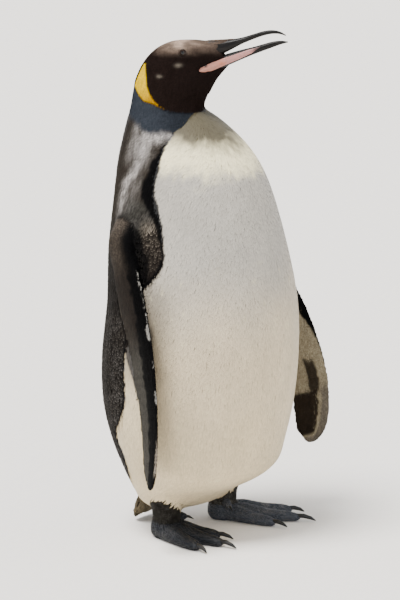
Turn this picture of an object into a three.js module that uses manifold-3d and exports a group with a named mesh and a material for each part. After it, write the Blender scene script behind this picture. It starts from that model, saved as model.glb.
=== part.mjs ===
// King penguin: a still, life-size model of a standing adult, head turned to its left, bill parted.
// Units are millimetres, +Z is up. The bird faces -Y and its left side is +X.
// "Forward" sizes run from the middle of the belly towards the breast, "up" sizes from the floor.

import * as THREE from 'three';
import { mergeVertices } from 'three/addons/utils/BufferGeometryUtils.js';
import Module from 'manifold-3d';

const wasm = await Module();
wasm.setup();

// ---------------------------------------------------------------- driving dimensions

const GAP = 0.3;                 // thin cut between neighbouring pieces
const WELD = 1e-4;               // points closer than this are one point
const PROBE = 0.1;               // small step along a curve, in its own stations
const SIDES = [{ name: 'right', side: -1 }, { name: 'left', side: 1 }];
const NECK_AXIS = -66;           // forward place of the upright axis that the head turns about
const HEAD_TURN = 27;            // head turned to the bird's left, degrees
const BODY_SIDES = 26;           // points round a body section

// Sections of the body from the underside to the face. back and front are [forward, up] on the midline,
// half is the half width, turn the share of the head's turn, taper how far the snout's narrowing counts.
const BODY_SECTIONS = [
  { back: [-62, 38], front: [-6, 38], half: 52, turn: 0, taper: 0 },
  { back: [-92, 48], front: [22, 46], half: 80, turn: 0, taper: 0 },
  { back: [-101, 72], front: [54, 70], half: 99, turn: 0, taper: 0 },
  { back: [-110, 90], front: [90, 88], half: 116, turn: 0, taper: 0 },
  { back: [-118, 114], front: [120, 112], half: 133, turn: 0, taper: 0 },
  { back: [-133, 146], front: [130, 144], half: 142, turn: 0, taper: 0 },
  { back: [-151, 208], front: [146, 208], half: 152, turn: 0, taper: 0 },
  { back: [-153, 287], front: [155, 287], half: 154, turn: 0, taper: 0 },
  { back: [-144, 367], front: [155, 367], half: 148, turn: 0, taper: 0 },
  { back: [-146, 446], front: [141, 446], half: 136, turn: 0, taper: 0 },
  { back: [-140, 526], front: [120, 526], half: 118, turn: 0, taper: 0 },
  { back: [-137, 582], front: [99, 575], half: 102, turn: 0.08, taper: 0 },
  { back: [-131, 618], front: [69, 612], half: 86, turn: 0.2, taper: 0 },
  { back: [-126, 643], front: [33, 640], half: 70, turn: 0.4, taper: 0 },
  { back: [-122, 659], front: [10, 655], half: 58, turn: 0.65, taper: 0 },
  { back: [-120, 668], front: [-5, 661], half: 53, turn: 0.85, taper: 0 },
  { back: [-118, 681], front: [-4, 671], half: 50, turn: 0.95, taper: 0 },
  { back: [-115, 698], front: [3, 686], half: 47, turn: 1, taper: 0.05 },
  { back: [-109, 716], front: [9, 698], half: 44, turn: 1, taper: 0.25 },
  { back: [-98, 737], front: [15, 709], half: 42, turn: 1, taper: 0.6 },
  { back: [-80, 756], front: [22, 718], half: 40, turn: 1, taper: 0.9 },
  { back: [-57, 767], front: [28, 725], half: 39, turn: 1, taper: 1 },
  { back: [-33, 770], front: [32, 730], half: 38, turn: 1, taper: 1 },
  { back: [-12, 770], front: [36, 733], half: 37, turn: 1, taper: 1 },
  { back: [4, 768], front: [40, 736], half: 35, turn: 1, taper: 1 },
];
const TRUNK_END = 12;            // section numbers at which the body is parted
const NECK_END = 17;
const TRUNK_STEPS = 24;          // rings along each length
const NECK_STEPS = 8;
const HEAD_STEPS = 14;
const HEAD_SQUARENESS = 0.8;     // power of the head's sections, rounder at 1, squarer below
const SNOUT_START = -58;         // the face narrows forward of this, down to SNOUT_SHARE of its width
const SNOUT_LENGTH = 98;
const SNOUT_SHARE = 0.3;
const SNOUT_EASE = { start: -0.15, end: 1.1 };  // shares of the length over which the narrowing eases

const EYE_RADIUS = 9;
const EYE_SIDES = { round: 14, rings: 8 };
const EYE_PLACE = { side: 19.5, forward: -34.5, up: 755 };
const LID_OPENING = { radius: 5.9, length: 24, sides: 16 };

const BILL_SIDES = 12;
const BILL_SQUARENESS = 0.8;      // power of the bill's sections
// Bill sections: forward, top and bottom, half width.
const BILL_UPPER_SECTIONS = [
  { forward: -18, top: 762, bottom: 738, half: 15 },
  { forward: 0, top: 770, bottom: 739, half: 14 },
  { forward: 20, top: 771.5, bottom: 747.5, half: 11.2 },
  { forward: 38, top: 773, bottom: 757, half: 8.8 },
  { forward: 55, top: 776.5, bottom: 766.5, half: 7 },
  { forward: 72, top: 782, bottom: 774, half: 5.6 },
  { forward: 88, top: 787, bottom: 780, half: 4.8 },
  { forward: 102, top: 788.5, bottom: 783, half: 4 },
  { forward: 114, top: 786, bottom: 782.5, half: 2.9 },
  { forward: 122, top: 781.5, bottom: 780, half: 1.2 },
];
const BILL_LOWER_SECTIONS = [
  { forward: -22, top: 732, bottom: 720, half: 22.5 },
  { forward: -9, top: 733.5, bottom: 718, half: 23.5 },
  { forward: 4, top: 740, bottom: 720, half: 19.5 },
  { forward: 21, top: 746.6, bottom: 727, half: 14.4 },
  { forward: 38, top: 752.4, bottom: 734.5, half: 11 },
  { forward: 55, top: 757.4, bottom: 742.5, half: 8.6 },
  { forward: 72, top: 762, bottom: 750, half: 6.9 },
  { forward: 88, top: 767, bottom: 756.5, half: 5.6 },
  { forward: 102, top: 771, bottom: 762, half: 4.4 },
  { forward: 115, top: 772.5, bottom: 767, half: 3 },
  { forward: 125, top: 771.5, bottom: 770, half: 1.1 },
];
// Outline of the coloured side plate of the lower bill, [forward, up], from its rear end round.
const PLATE_OUTLINE = [
  [-12, 727], [-7, 732.5], [4, 738.3], [21, 745], [38, 750.8], [55, 755.6], [70, 759.5], [84, 764],
  [70, 753.4], [55, 745.8], [38, 738], [21, 730.5], [8, 725.5], [-4, 723],
];
const PLATE_INNER = { rear: 17, front: 2.6 };   // how far out the plates' inner faces lie
const PLATE_BLOCK_DEPTH = 30;

// Flippers: the mid-chord line runs from root to tip with a forward bow, after a start in the shoulder.
const FLIPPER_SECTIONS = [
  { share: 0, bow: 0, chord: 56, thickness: 34 },
  { share: 0.12, bow: 7, chord: 67, thickness: 25 },
  { share: 0.25, bow: 15, chord: 73, thickness: 18 },
  { share: 0.45, bow: 29, chord: 75, thickness: 12.5 },
  { share: 0.62, bow: 35, chord: 70, thickness: 9.5 },
  { share: 0.75, bow: 33, chord: 66, thickness: 8 },
  { share: 0.86, bow: 25, chord: 61, thickness: 7 },
  { share: 0.93, bow: 16, chord: 54, thickness: 6 },
  { share: 0.97, bow: 9, chord: 42, thickness: 5 },
  { share: 0.99, bow: 4, chord: 27, thickness: 4 },
  { share: 1, bow: 0, chord: 8, thickness: 3 },
];
const FLIPPER_TWIST = { root: 18, tip: 34 };    // leading edge turned out from straight ahead, degrees
const FLIPPER_SIDES = 12;
const FLIPPER_STEP = 0.5;         // rings of a flipper for each of its sections
const LEADING_FULLNESS = 0.28;    // how much thicker the blade is towards its leading edge
const FLIPPERS = [
  { name: 'right', side: -1, shoulder: [-88, 58, 516], root: [-130, 60, 478], tip: [-169, -21, 106] },
  { name: 'left', side: 1, shoulder: [88, 34, 516], root: [135, 28, 478], tip: [205, -62, 105] },
];

// Legs and feet: ankle centre, direction of the middle toe (outward is positive) and reach of the toes.
const FEET = [
  { name: 'right', side: -1, ankle: [-70, 15], outward: 0, reach: 0.96 },
  { name: 'left', side: 1, ankle: [70, 5], outward: 25, reach: 1.1 },
];
const LEG_SECTIONS = [
  { up: 92, halfSide: 30, halfForward: 32 },
  { up: 60, halfSide: 26, halfForward: 28 },
  { up: 44, halfSide: 22.5, halfForward: 24 },
  { up: 27, halfSide: 21.5, halfForward: 23 },
];
const HEEL_SECTIONS = [
  { up: 0, halfSide: 18, halfForward: 19 },
  { up: 7, halfSide: 23, halfForward: 25 },
  { up: 18, halfSide: 23.5, halfForward: 25.5 },
  { up: 27, halfSide: 21.5, halfForward: 23 },
];
// Toes: where each leaves the ankle, the way it points (outward is positive) and its claw's length.
const TOES = [
  { name: 'inner', out: -9, spread: -18, length: 86, half: 12, claw: 21 },
  { name: 'middle', out: 0, spread: 0, length: 112, half: 13, claw: 25 },
  { name: 'outer', out: 13, spread: 17, length: 98, half: 13.5, claw: 20 },
];
// Sections of a toe and of its claw: share of the length, height, how far the half width differs from the
// toe's own, and half height.
const TOE_SECTIONS = [
  { share: 0, up: 14, wider: 0, height: 13 },
  { share: 0.3, up: 12.5, wider: 1, height: 13.5 },
  { share: 0.6, up: 8.5, wider: 0, height: 10 },
  { share: 0.85, up: 7.5, wider: -2, height: 8.5 },
  { share: 0.96, up: 6.5, wider: -5, height: 6.5 },
  { share: 1, up: 6, wider: -9, height: 3 },
];
const CLAW_ROOT = 7;              // length of a claw inside its toe
const CLAW_SECTIONS = [
  { share: 0, up: 9, half: 3.4, height: 3.4 },
  { share: 0.4, up: 9.2, half: 3.6, height: 3.6 },
  { share: 0.75, up: 6.4, half: 2.6, height: 2.8 },
  { share: 1, up: 2.4, half: 0.8, height: 0.8 },
];
// The small hind toe on the inner side of the ankle, and its claw.
const HIND_TOE_SECTIONS = [
  { out: -14, forward: 6, up: 31, half: 7, height: 8 },
  { out: -24, forward: 11, up: 30, half: 7, height: 7 },
  { out: -31, forward: 15, up: 28, half: 5, height: 5 },
  { out: -33, forward: 17, up: 27, half: 2, height: 2 },
];
const HIND_CLAW_SECTIONS = [
  { out: -27, forward: 13, up: 29, half: 2.2, height: 2.2 },
  { out: -35, forward: 18, up: 27.5, half: 2, height: 2.2 },
  { out: -42, forward: 23, up: 22.5, half: 0.6, height: 0.6 },
];
const LEG_SIDES = 16;
const TOE_SIDES = 10;
const CLAW_SIDES = 8;
const WEB_THICKNESS = 5;
const WEB_REACH = 0.86;           // where the web's edge meets each toe, as a share of the toe
const WEB_DEPTH = [0.8, 0.624];   // where its middle is drawn back to, as shares of the shorter toe
const FLOOR_BLOCK = { breadth: 600, depth: 60 };

const TAIL_SECTIONS = [
  { forward: -66, up: 84, half: 44, thickness: 26 },
  { forward: -84, up: 58, half: 44, thickness: 20 },
  { forward: -97, up: 34, half: 39, thickness: 13 },
  { forward: -107, up: 15, half: 31, thickness: 8 },
  { forward: -113, up: 5, half: 20, thickness: 3.5 },
];
const TAIL_SIDES = 20;

const COLOURS = {
  back: 0x3b3c40, breast: 0xf1ebdc, head: 0x1d1b1a, horn: 0x171514, plate: 0xe9b59f,
  eye: 0x2c1a10, skin: 0x34322f, tail: 0x4a4234, claw: 0x2a2723,
};

const COAT_ROUGHNESS = 0.8;
const HORN_ROUGHNESS = 0.4;
const EYE_ROUGHNESS = 0.1;

// ---------------------------------------------------------------- shape helpers

/** A point of the bird from its side, forward and up sizes, turned about the neck's axis by a share. */
function birdPoint(side, forward, up, turn = 0) {
  const angle = THREE.MathUtils.degToRad(HEAD_TURN * turn);
  const ahead = forward - NECK_AXIS;
  const x = side * Math.cos(angle) + ahead * Math.sin(angle);
  const y = side * Math.sin(angle) - ahead * Math.cos(angle) - NECK_AXIS;
  return new THREE.Vector3(x, y, up);
}

/** A number's size raised to a power, with its sign kept. */
function signedPower(value, power) {
  return Math.sign(value) * Math.abs(value) ** power;
}

/** Smooth curve through rows of three values, read by row number. */
function rowCurve(rows) {
  const curve = new THREE.CatmullRomCurve3(rows.map((row) => new THREE.Vector3(...row)));
  curve.curveType = 'catmullrom';
  return (place) => curve.getPoint(place / (rows.length - 1));
}

/** Closed body through rings of points, with a flat fan over each end. */
function loft(rings) {
  const sides = rings[0].length;
  const points = rings.flat();
  const faces = [];
  for (let ring = 0; ring + 1 < rings.length; ring += 1) {
    for (let side = 0; side < sides; side += 1) {
      const next = (side + 1) % sides;
      const a = ring * sides + side;
      const b = ring * sides + next;
      faces.push([a, b, b + sides], [a, b + sides, a + sides]);
    }
  }
  const firstCentre = points.push(centreOf(rings[0])) - 1;
  const lastCentre = points.push(centreOf(rings.at(-1))) - 1;
  const offset = (rings.length - 1) * sides;
  for (let side = 0; side < sides; side += 1) {
    const next = (side + 1) % sides;
    faces.push([firstCentre, next, side], [lastCentre, offset + side, offset + next]);
  }
  return facedOutward(points, faces);
}

/** Mean of a ring's points. */
function centreOf(ring) {
  const centre = new THREE.Vector3();
  ring.forEach((point) => centre.add(point));
  return centre.divideScalar(ring.length);
}

/** Indexed geometry whose faces point out, whichever way its rings ran. */
function facedOutward(points, faces) {
  const volume = faces.reduce((sum, [a, b, c]) => (
    sum + points[a].dot(points[b].clone().cross(points[c]))), 0);
  const ordered = volume < 0 ? faces.map(([a, b, c]) => [a, c, b]) : faces;
  const geometry = new THREE.BufferGeometry();
  geometry.setFromPoints(points);
  geometry.setIndex(ordered.flat());
  return geometry;
}

/** An outline extruded by depth, each of its corners then moved to its place. */
function prism(outline, depth, placeOf) {
  const extruded = new THREE.ExtrudeGeometry(outline, { depth, bevelEnabled: false });
  extruded.deleteAttribute('normal');
  extruded.deleteAttribute('uv');
  const { attributes, index } = mergeVertices(extruded, WELD);
  const points = [];
  for (let corner = 0; corner < attributes.position.count; corner += 1) {
    const { x, y, z } = new THREE.Vector3().fromBufferAttribute(attributes.position, corner);
    points.push(placeOf(x, y, z));
  }
  const faces = [];
  for (let start = 0; start < index.count; start += 3) {
    faces.push([0, 1, 2].map((corner) => index.getX(start + corner)));
  }
  return solidOf(facedOutward(points, faces));
}

/** The solid of a closed geometry. */
function solidOf(geometry) {
  const bare = geometry.clone();
  bare.deleteAttribute('normal');
  bare.deleteAttribute('uv');
  const merged = mergeVertices(bare, WELD);
  return new wasm.Manifold(new wasm.Mesh({
    numProp: 3,
    vertProperties: new Float32Array(merged.attributes.position.array),
    triVerts: new Uint32Array(merged.index.array),
  }));
}

/** The geometry of a solid. */
function geometryOf(solid) {
  const { vertProperties, triVerts } = solid.getMesh();
  const geometry = new THREE.BufferGeometry();
  geometry.setAttribute('position', new THREE.BufferAttribute(new Float32Array(vertProperties), 3));
  geometry.setIndex(new THREE.BufferAttribute(new Uint32Array(triVerts), 1));
  return geometry;
}

/** A named piece in its own colour. */
function piece(name, solid, colour, roughness = COAT_ROUGHNESS) {
  const material = new THREE.MeshStandardMaterial({ color: colour, roughness, metalness: 0 });
  const geometry = geometryOf(solid);
  geometry.computeVertexNormals();
  const mesh = new THREE.Mesh(geometry, material);
  mesh.name = name;
  return mesh;
}

// ---------------------------------------------------------------- trunk, neck and head

const backLine = rowCurve(BODY_SECTIONS.map(({ back }) => [back[0], back[1], 0]));
const frontLine = rowCurve(BODY_SECTIONS.map(({ front }) => [front[0], front[1], 0]));
const breadth = rowCurve(BODY_SECTIONS.map(({ half, turn, taper }) => [half, turn, taper]));

/** How much of its width the face keeps at a forward place. */
function snoutShare(forward) {
  const share = THREE.MathUtils.clamp((forward - SNOUT_START) / SNOUT_LENGTH, 0, 1);
  const narrowed = THREE.MathUtils.smoothstep(share, SNOUT_EASE.start, SNOUT_EASE.end);
  return THREE.MathUtils.lerp(1, SNOUT_SHARE, narrowed);
}

/** One section of the body at a section number, made larger all round by grow. */
function bodyRing(place, grow = 0) {
  const back = backLine(place);
  const front = frontLine(place);
  const [half, turn, taper] = breadth(place).toArray();
  const middle = back.clone().lerp(front, 0.5);
  const depth = front.clone().sub(back).multiplyScalar(0.5);
  depth.setLength(depth.length() + grow);
  const power = THREE.MathUtils.lerp(1, HEAD_SQUARENESS, taper);
  const ring = [];
  for (let index = 0; index < BODY_SIDES; index += 1) {
    const angle = (2 * Math.PI * index) / BODY_SIDES;
    const line = middle.clone().addScaledVector(depth, signedPower(Math.cos(angle), power));
    const narrowing = THREE.MathUtils.lerp(1, snoutShare(line.x), taper);
    const side = (half * narrowing + grow) * signedPower(Math.sin(angle), power);
    ring.push(birdPoint(side, line.x, line.y, turn));
  }
  return ring;
}

/** The body between two section numbers. */
function bodyLength(from, to, steps, grow = 0) {
  const rings = [];
  for (let step = 0; step <= steps; step += 1) {
    rings.push(bodyRing(THREE.MathUtils.lerp(from, to, step / steps), grow));
  }
  return solidOf(loft(rings));
}

/** Gap between two lengths of the body, in section numbers. */
function gapShare(place) {
  const spacing = centreOf(bodyRing(place)).distanceTo(centreOf(bodyRing(place + PROBE))) / PROBE;
  return GAP / spacing;
}

// ---------------------------------------------------------------- bill and eyes

/** A bill half from its sections, each a rounded ring. */
function billHalf(sections, grow = 0) {
  return solidOf(loft(sections.map(({ forward, top, bottom, half }) => {
    const ring = [];
    for (let index = 0; index < BILL_SIDES; index += 1) {
      const angle = (2 * Math.PI * index) / BILL_SIDES;
      const side = (half + grow) * signedPower(Math.cos(angle), BILL_SQUARENESS);
      const rise = ((top - bottom) / 2 + grow) * signedPower(Math.sin(angle), BILL_SQUARENESS);
      ring.push(birdPoint(side, forward, (top + bottom) / 2 + rise, 1));
    }
    return ring;
  })));
}

/** The prism that holds one side plate, its inner face slanting in towards the bill's tip. */
function plateBlock(side, grow = 0) {
  const corners = PLATE_OUTLINE.map(([forward, up]) => new THREE.Vector2(forward, up));
  const centre = new THREE.Vector2();
  corners.forEach((corner) => centre.add(corner));
  centre.divideScalar(corners.length);
  corners.forEach((corner) => {
    const away = corner.clone().sub(centre).normalize();
    corner.addScaledVector(away, grow);
  });
  const rear = PLATE_OUTLINE[0][0];
  const length = Math.max(...PLATE_OUTLINE.map(([forward]) => forward)) - rear;
  return prism(new THREE.Shape(corners), PLATE_BLOCK_DEPTH, (forward, up, depth) => {
    const inner = THREE.MathUtils.lerp(PLATE_INNER.rear, PLATE_INNER.front, (forward - rear) / length);
    return birdPoint(side * (depth + inner - grow), forward, up, 1);
  });
}

/** An eyeball, or the hollow it sits in. */
function eyeball(side, radius) {
  const geometry = new THREE.SphereGeometry(radius, EYE_SIDES.round, EYE_SIDES.rings);
  const { side: out, forward, up } = EYE_PLACE;
  geometry.translate(...birdPoint(side * out, forward, up, 1).toArray());
  return solidOf(geometry);
}

/** The round opening between the lids, from the eyeball's middle outwards. */
function lidOpening(side) {
  const { radius, length, sides } = LID_OPENING;
  const geometry = new THREE.CylinderGeometry(radius, radius, length, sides);
  geometry.rotateZ(Math.PI / 2 + THREE.MathUtils.degToRad(HEAD_TURN));
  const { side: out, forward, up } = EYE_PLACE;
  geometry.translate(...birdPoint(side * (out + length / 2), forward, up, 1).toArray());
  return solidOf(geometry);
}

// ---------------------------------------------------------------- flippers

/** Direction across the blade, from its trailing to its leading edge, at a share of the span. */
function chordDirection(side, share, span) {
  const twist = THREE.MathUtils.lerp(FLIPPER_TWIST.root, FLIPPER_TWIST.tip, share);
  const angle = THREE.MathUtils.degToRad(twist);
  const across = new THREE.Vector3(side * Math.sin(angle), -Math.cos(angle), 0);
  return across.addScaledVector(span, -across.dot(span)).normalize();
}

/** One section of a flipper: a lens, fullest behind its leading edge. */
function flipperRing(centre, chordLine, thickLine, chord, thickness) {
  const ring = [];
  for (let index = 0; index < FLIPPER_SIDES; index += 1) {
    const angle = (2 * Math.PI * index) / FLIPPER_SIDES;
    const across = Math.cos(angle);
    const fullness = 1 + LEADING_FULLNESS * (across - 0.5);
    const point = centre.clone();
    point.addScaledVector(chordLine, across * chord / 2);
    point.addScaledVector(thickLine, Math.sin(angle) * fullness * thickness / 2);
    ring.push(point);
  }
  return ring;
}

/** A flipper from inside the shoulder to its tip. */
function flipper({ side, shoulder, root, tip }) {
  const from = new THREE.Vector3(...root);
  const along = new THREE.Vector3(...tip).sub(from);
  const span = along.clone().normalize();
  const line = FLIPPER_SECTIONS.map(({ share, bow }) => (
    from.clone().addScaledVector(along, share).addScaledVector(chordDirection(side, share, span), bow)));
  const path = rowCurve([shoulder, ...line.map((point) => point.toArray())]);
  const first = FLIPPER_SECTIONS[0];
  const sizes = rowCurve([first, ...FLIPPER_SECTIONS].map((row) => [row.chord, row.thickness, row.share]));
  const rings = [];
  const end = FLIPPER_SECTIONS.length;
  for (let place = 0; place <= end; place += FLIPPER_STEP) {
    const size = sizes(place);
    const tangent = path(Math.min(place + PROBE, end)).sub(path(Math.max(place - PROBE, 0))).normalize();
    const chordLine = chordDirection(side, size.z, tangent);
    const thickLine = new THREE.Vector3().crossVectors(tangent, chordLine);
    rings.push(flipperRing(path(place), chordLine, thickLine, size.x, size.y));
  }
  return solidOf(loft(rings));
}

// ---------------------------------------------------------------- legs, feet and claws

/** A level oval ring. */
function ovalRing([x, y], up, halfSide, halfForward) {
  const ring = [];
  for (let index = 0; index < LEG_SIDES; index += 1) {
    const angle = (2 * Math.PI * index) / LEG_SIDES;
    ring.push(new THREE.Vector3(x + halfSide * Math.cos(angle), y + halfForward * Math.sin(angle), up));
  }
  return ring;
}

/** The feathered shank, from inside the trunk to the ankle. */
function leg({ ankle }, grow = 0) {
  const [x, y] = ankle;
  return solidOf(loft(LEG_SECTIONS.map(({ up, halfSide, halfForward }) => (
    ovalRing([x, y], up - grow, halfSide + grow, halfForward + grow)))));
}

/** A point of a foot from its outward and forward sizes from the ankle. */
function footPoint({ side, ankle, outward }, out, forward, up) {
  const angle = THREE.MathUtils.degToRad(outward);
  const x = out * Math.cos(angle) + forward * Math.sin(angle);
  const y = out * Math.sin(angle) - forward * Math.cos(angle);
  return new THREE.Vector3(ankle[0] + side * x, ankle[1] + y, up);
}

/** A rounded rod along a line of stations {out, forward, up, half, height}. */
function rod(foot, stations, sides, grow = 0) {
  const centres = rowCurve(stations.map(({ out, forward, up }) => [out, forward, up]));
  const sizes = rowCurve(stations.map(({ half, height }) => [half, height, 0]));
  const rings = [];
  for (let place = 0; place < stations.length; place += 1) {
    const centre = centres(place);
    const size = sizes(place);
    const before = centres(Math.max(0, place - PROBE));
    const after = centres(Math.min(stations.length - 1, place + PROBE));
    const along = after.sub(before).normalize();
    const level = new THREE.Vector3(along.y, -along.x, 0).normalize();
    const upright = new THREE.Vector3().crossVectors(level, along);
    const ring = [];
    for (let index = 0; index < sides; index += 1) {
      const angle = (2 * Math.PI * index) / sides;
      const point = centre.clone();
      point.addScaledVector(level, Math.cos(angle) * (size.x + grow));
      point.addScaledVector(upright, Math.sin(angle) * (size.y + grow));
      ring.push(footPoint(foot, point.x, point.y, point.z));
    }
    rings.push(ring);
  }
  return solidOf(loft(rings));
}

/** Outward and forward place on a toe at a distance from the ankle. */
function toePlace(toe, distance) {
  const angle = THREE.MathUtils.degToRad(toe.spread);
  return { out: toe.out + Math.sin(angle) * distance, forward: Math.cos(angle) * distance };
}

/** A toe, thick at the ankle, with a padded end. */
function toeSolid(foot, toe) {
  return rod(foot, TOE_SECTIONS.map(({ share, up, wider, height }) => (
    { ...toePlace(toe, toe.length * foot.reach * share), up, half: toe.half + wider, height })), TOE_SIDES);
}

/** A claw: a curved, tapering hook let into the toe's end. */
function clawSolid(foot, toe, grow = 0) {
  const start = toe.length * foot.reach - CLAW_ROOT;
  const reach = toe.claw + CLAW_ROOT;
  return rod(foot, CLAW_SECTIONS.map(({ share, ...size }) => (
    { ...toePlace(toe, start + reach * share), ...size })), CLAW_SIDES, grow);
}

/** The claw of the hind toe. */
function hindClaw(foot, grow = 0) {
  return rod(foot, HIND_CLAW_SECTIONS, CLAW_SIDES, grow);
}

/** The web between two toes, its free edge drawn back in a curve. */
function webSolid(foot, first, second, depth) {
  const near = toePlace(first, first.length * foot.reach * WEB_REACH);
  const far = toePlace(second, second.length * foot.reach * WEB_REACH);
  const shorter = Math.min(first.length, second.length) * foot.reach;
  const between = { out: (first.out + second.out) / 2, spread: (first.spread + second.spread) / 2 };
  const back = toePlace(between, shorter * depth);
  const outline = new THREE.Shape();
  outline.moveTo(0, 0);
  outline.lineTo(near.out, near.forward);
  outline.quadraticCurveTo(back.out, back.forward, far.out, far.forward);
  outline.closePath();
  return prism(outline, WEB_THICKNESS, (out, forward, up) => footPoint(foot, out, forward, up));
}

/** Everything below the floor, taken off the soles so that they lie flat. */
function belowFloor() {
  const { breadth, depth } = FLOOR_BLOCK;
  const geometry = new THREE.BoxGeometry(breadth, breadth, depth);
  geometry.translate(0, 0, -depth / 2);
  return solidOf(geometry);
}

/** A foot with its three webbed toes and hind toe. */
function footSolid(foot) {
  const [x, y] = foot.ankle;
  let solid = solidOf(loft(HEEL_SECTIONS.map(({ up, halfSide, halfForward }) => (
    ovalRing([x, y], up, halfSide, halfForward)))));
  for (const toe of TOES) {
    solid = solid.add(toeSolid(foot, toe));
  }
  solid = solid.add(webSolid(foot, TOES[0], TOES[1], WEB_DEPTH[0]));
  solid = solid.add(webSolid(foot, TOES[1], TOES[2], WEB_DEPTH[1]));
  solid = solid.add(rod(foot, HIND_TOE_SECTIONS, TOE_SIDES));
  solid = solid.subtract(belowFloor()).subtract(leg(foot, GAP));
  for (const toe of TOES) {
    solid = solid.subtract(clawSolid(foot, toe, GAP));
  }
  return solid.subtract(hindClaw(foot, GAP));
}

// ---------------------------------------------------------------- tail

/** The wedge of stiff tail feathers. */
function tailSolid() {
  const rings = TAIL_SECTIONS.map(({ forward, up, half, thickness }, index) => {
    const before = TAIL_SECTIONS[Math.max(0, index - 1)];
    const after = TAIL_SECTIONS[Math.min(TAIL_SECTIONS.length - 1, index + 1)];
    const along = new THREE.Vector2(after.forward - before.forward, after.up - before.up).normalize();
    const ring = [];
    for (let step = 0; step < TAIL_SIDES; step += 1) {
      const angle = (2 * Math.PI * step) / TAIL_SIDES;
      const rise = Math.sin(angle) * thickness / 2;
      ring.push(birdPoint(Math.cos(angle) * half, forward + along.y * rise, up - along.x * rise));
    }
    return ring;
  });
  return solidOf(loft(rings));
}

// ---------------------------------------------------------------- the bird

/** All named pieces of the bird. */
function buildPieces() {
  const last = BODY_SECTIONS.length - 1;
  const pieces = [];
  const bodyCutter = bodyLength(0, TRUNK_END, TRUNK_STEPS, GAP);

  pieces.push(piece('trunk', bodyLength(0, TRUNK_END, TRUNK_STEPS), COLOURS.breast));
  const neckStart = TRUNK_END + gapShare(TRUNK_END);
  pieces.push(piece('neck', bodyLength(neckStart, NECK_END, NECK_STEPS), COLOURS.back));

  let head = bodyLength(NECK_END + gapShare(NECK_END), last, HEAD_STEPS);
  const billUpper = billHalf(BILL_UPPER_SECTIONS);
  const billLower = billHalf(BILL_LOWER_SECTIONS).subtract(billHalf(BILL_UPPER_SECTIONS, GAP));
  head = head.subtract(billHalf(BILL_UPPER_SECTIONS, GAP)).subtract(billHalf(BILL_LOWER_SECTIONS, GAP));
  let billCore = billLower;
  for (const { name, side } of SIDES) {
    const block = plateBlock(side);
    pieces.push(piece(`bill_plate_${name}`, billLower.intersect(block), COLOURS.plate, HORN_ROUGHNESS));
    billCore = billCore.subtract(plateBlock(side, GAP));
    head = head.subtract(plateBlock(side, GAP));
    head = head.subtract(lidOpening(side)).subtract(eyeball(side, EYE_RADIUS + GAP));
    pieces.push(piece(`eye_${name}`, eyeball(side, EYE_RADIUS), COLOURS.eye, EYE_ROUGHNESS));
  }
  pieces.push(piece('head', head, COLOURS.head));
  pieces.push(piece('bill_upper', billUpper, COLOURS.horn, HORN_ROUGHNESS));
  pieces.push(piece('bill_lower', billCore, COLOURS.horn, HORN_ROUGHNESS));

  for (const pose of FLIPPERS) {
    pieces.push(piece(`flipper_${pose.name}`, flipper(pose).subtract(bodyCutter), COLOURS.back));
  }
  for (const foot of FEET) {
    pieces.push(piece(`leg_${foot.name}`, leg(foot).subtract(bodyCutter), COLOURS.skin));
    pieces.push(piece(`foot_${foot.name}`, footSolid(foot), COLOURS.skin));
    for (const toe of TOES) {
      pieces.push(piece(`claw_${foot.name}_${toe.name}`, clawSolid(foot, toe), COLOURS.claw, HORN_ROUGHNESS));
    }
    pieces.push(piece(`claw_${foot.name}_hind`, hindClaw(foot), COLOURS.claw, HORN_ROUGHNESS));
  }
  pieces.push(piece('tail', tailSolid().subtract(bodyCutter), COLOURS.tail));
  return pieces;
}

/** The bird with its origin on the floor, under the middle of its outline. */
function buildBird() {
  const bird = new THREE.Group();
  bird.add(...buildPieces());
  const middle = new THREE.Box3().setFromObject(bird).getCenter(new THREE.Vector3());
  bird.position.set(-middle.x, -middle.y, 0);
  return bird;
}

const model = new THREE.Group();
model.add(buildBird());

export default model;
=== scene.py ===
"""King penguin, standing, life size: one skin, a coat of feather vanes, bill, eyes and claws on the solid model."""
import logging
import math
from dataclasses import dataclass, field
from enum import Enum

import bmesh
import bpy
import numpy as np
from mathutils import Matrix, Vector
from mathutils.bvhtree import BVHTree
from mathutils.kdtree import KDTree


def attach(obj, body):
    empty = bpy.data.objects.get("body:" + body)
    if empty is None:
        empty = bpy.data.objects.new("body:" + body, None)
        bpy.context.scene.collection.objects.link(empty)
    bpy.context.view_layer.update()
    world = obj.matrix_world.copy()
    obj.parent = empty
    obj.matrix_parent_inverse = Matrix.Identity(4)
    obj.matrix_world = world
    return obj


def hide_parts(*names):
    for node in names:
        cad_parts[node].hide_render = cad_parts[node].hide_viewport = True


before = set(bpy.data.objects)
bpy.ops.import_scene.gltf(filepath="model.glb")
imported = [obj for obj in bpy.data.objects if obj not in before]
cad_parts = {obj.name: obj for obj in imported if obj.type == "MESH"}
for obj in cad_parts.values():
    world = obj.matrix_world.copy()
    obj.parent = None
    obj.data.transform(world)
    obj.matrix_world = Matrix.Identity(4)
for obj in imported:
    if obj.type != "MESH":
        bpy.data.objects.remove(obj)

Array = np.ndarray
Span = tuple[float, float]             # mostly where something starts to come in or go out, and where that ends
Window = tuple[Span, Span]             # where something comes in, and where it goes out again
Triple = tuple[float, float, float]
Form, Mesh, Piece = bmesh.types.BMesh, bpy.types.Mesh, bpy.types.Object
Material, Socket = bpy.types.Material, bpy.types.NodeSocket
LOG = logging.getLogger("king_penguin")
MM = 0.001
SEED = 11
PLUME = "plume"                        # colour attribute of skin and coat
VANE_MAP = "Vane"                      # across and along one feather
BAKE_MAP = "OFBake"


# ---------------------------------------------------------------- numbers and colours

def linear(code: str) -> Array:
    """Linear red, green and blue of a six-digit hex code."""
    value = np.array([int(code[i:i + 2], 16) / 255 for i in (0, 2, 4)])
    return np.where(value <= 0.04045, value / 12.92, ((value + 0.055) / 1.055) ** 2.4)


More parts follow.
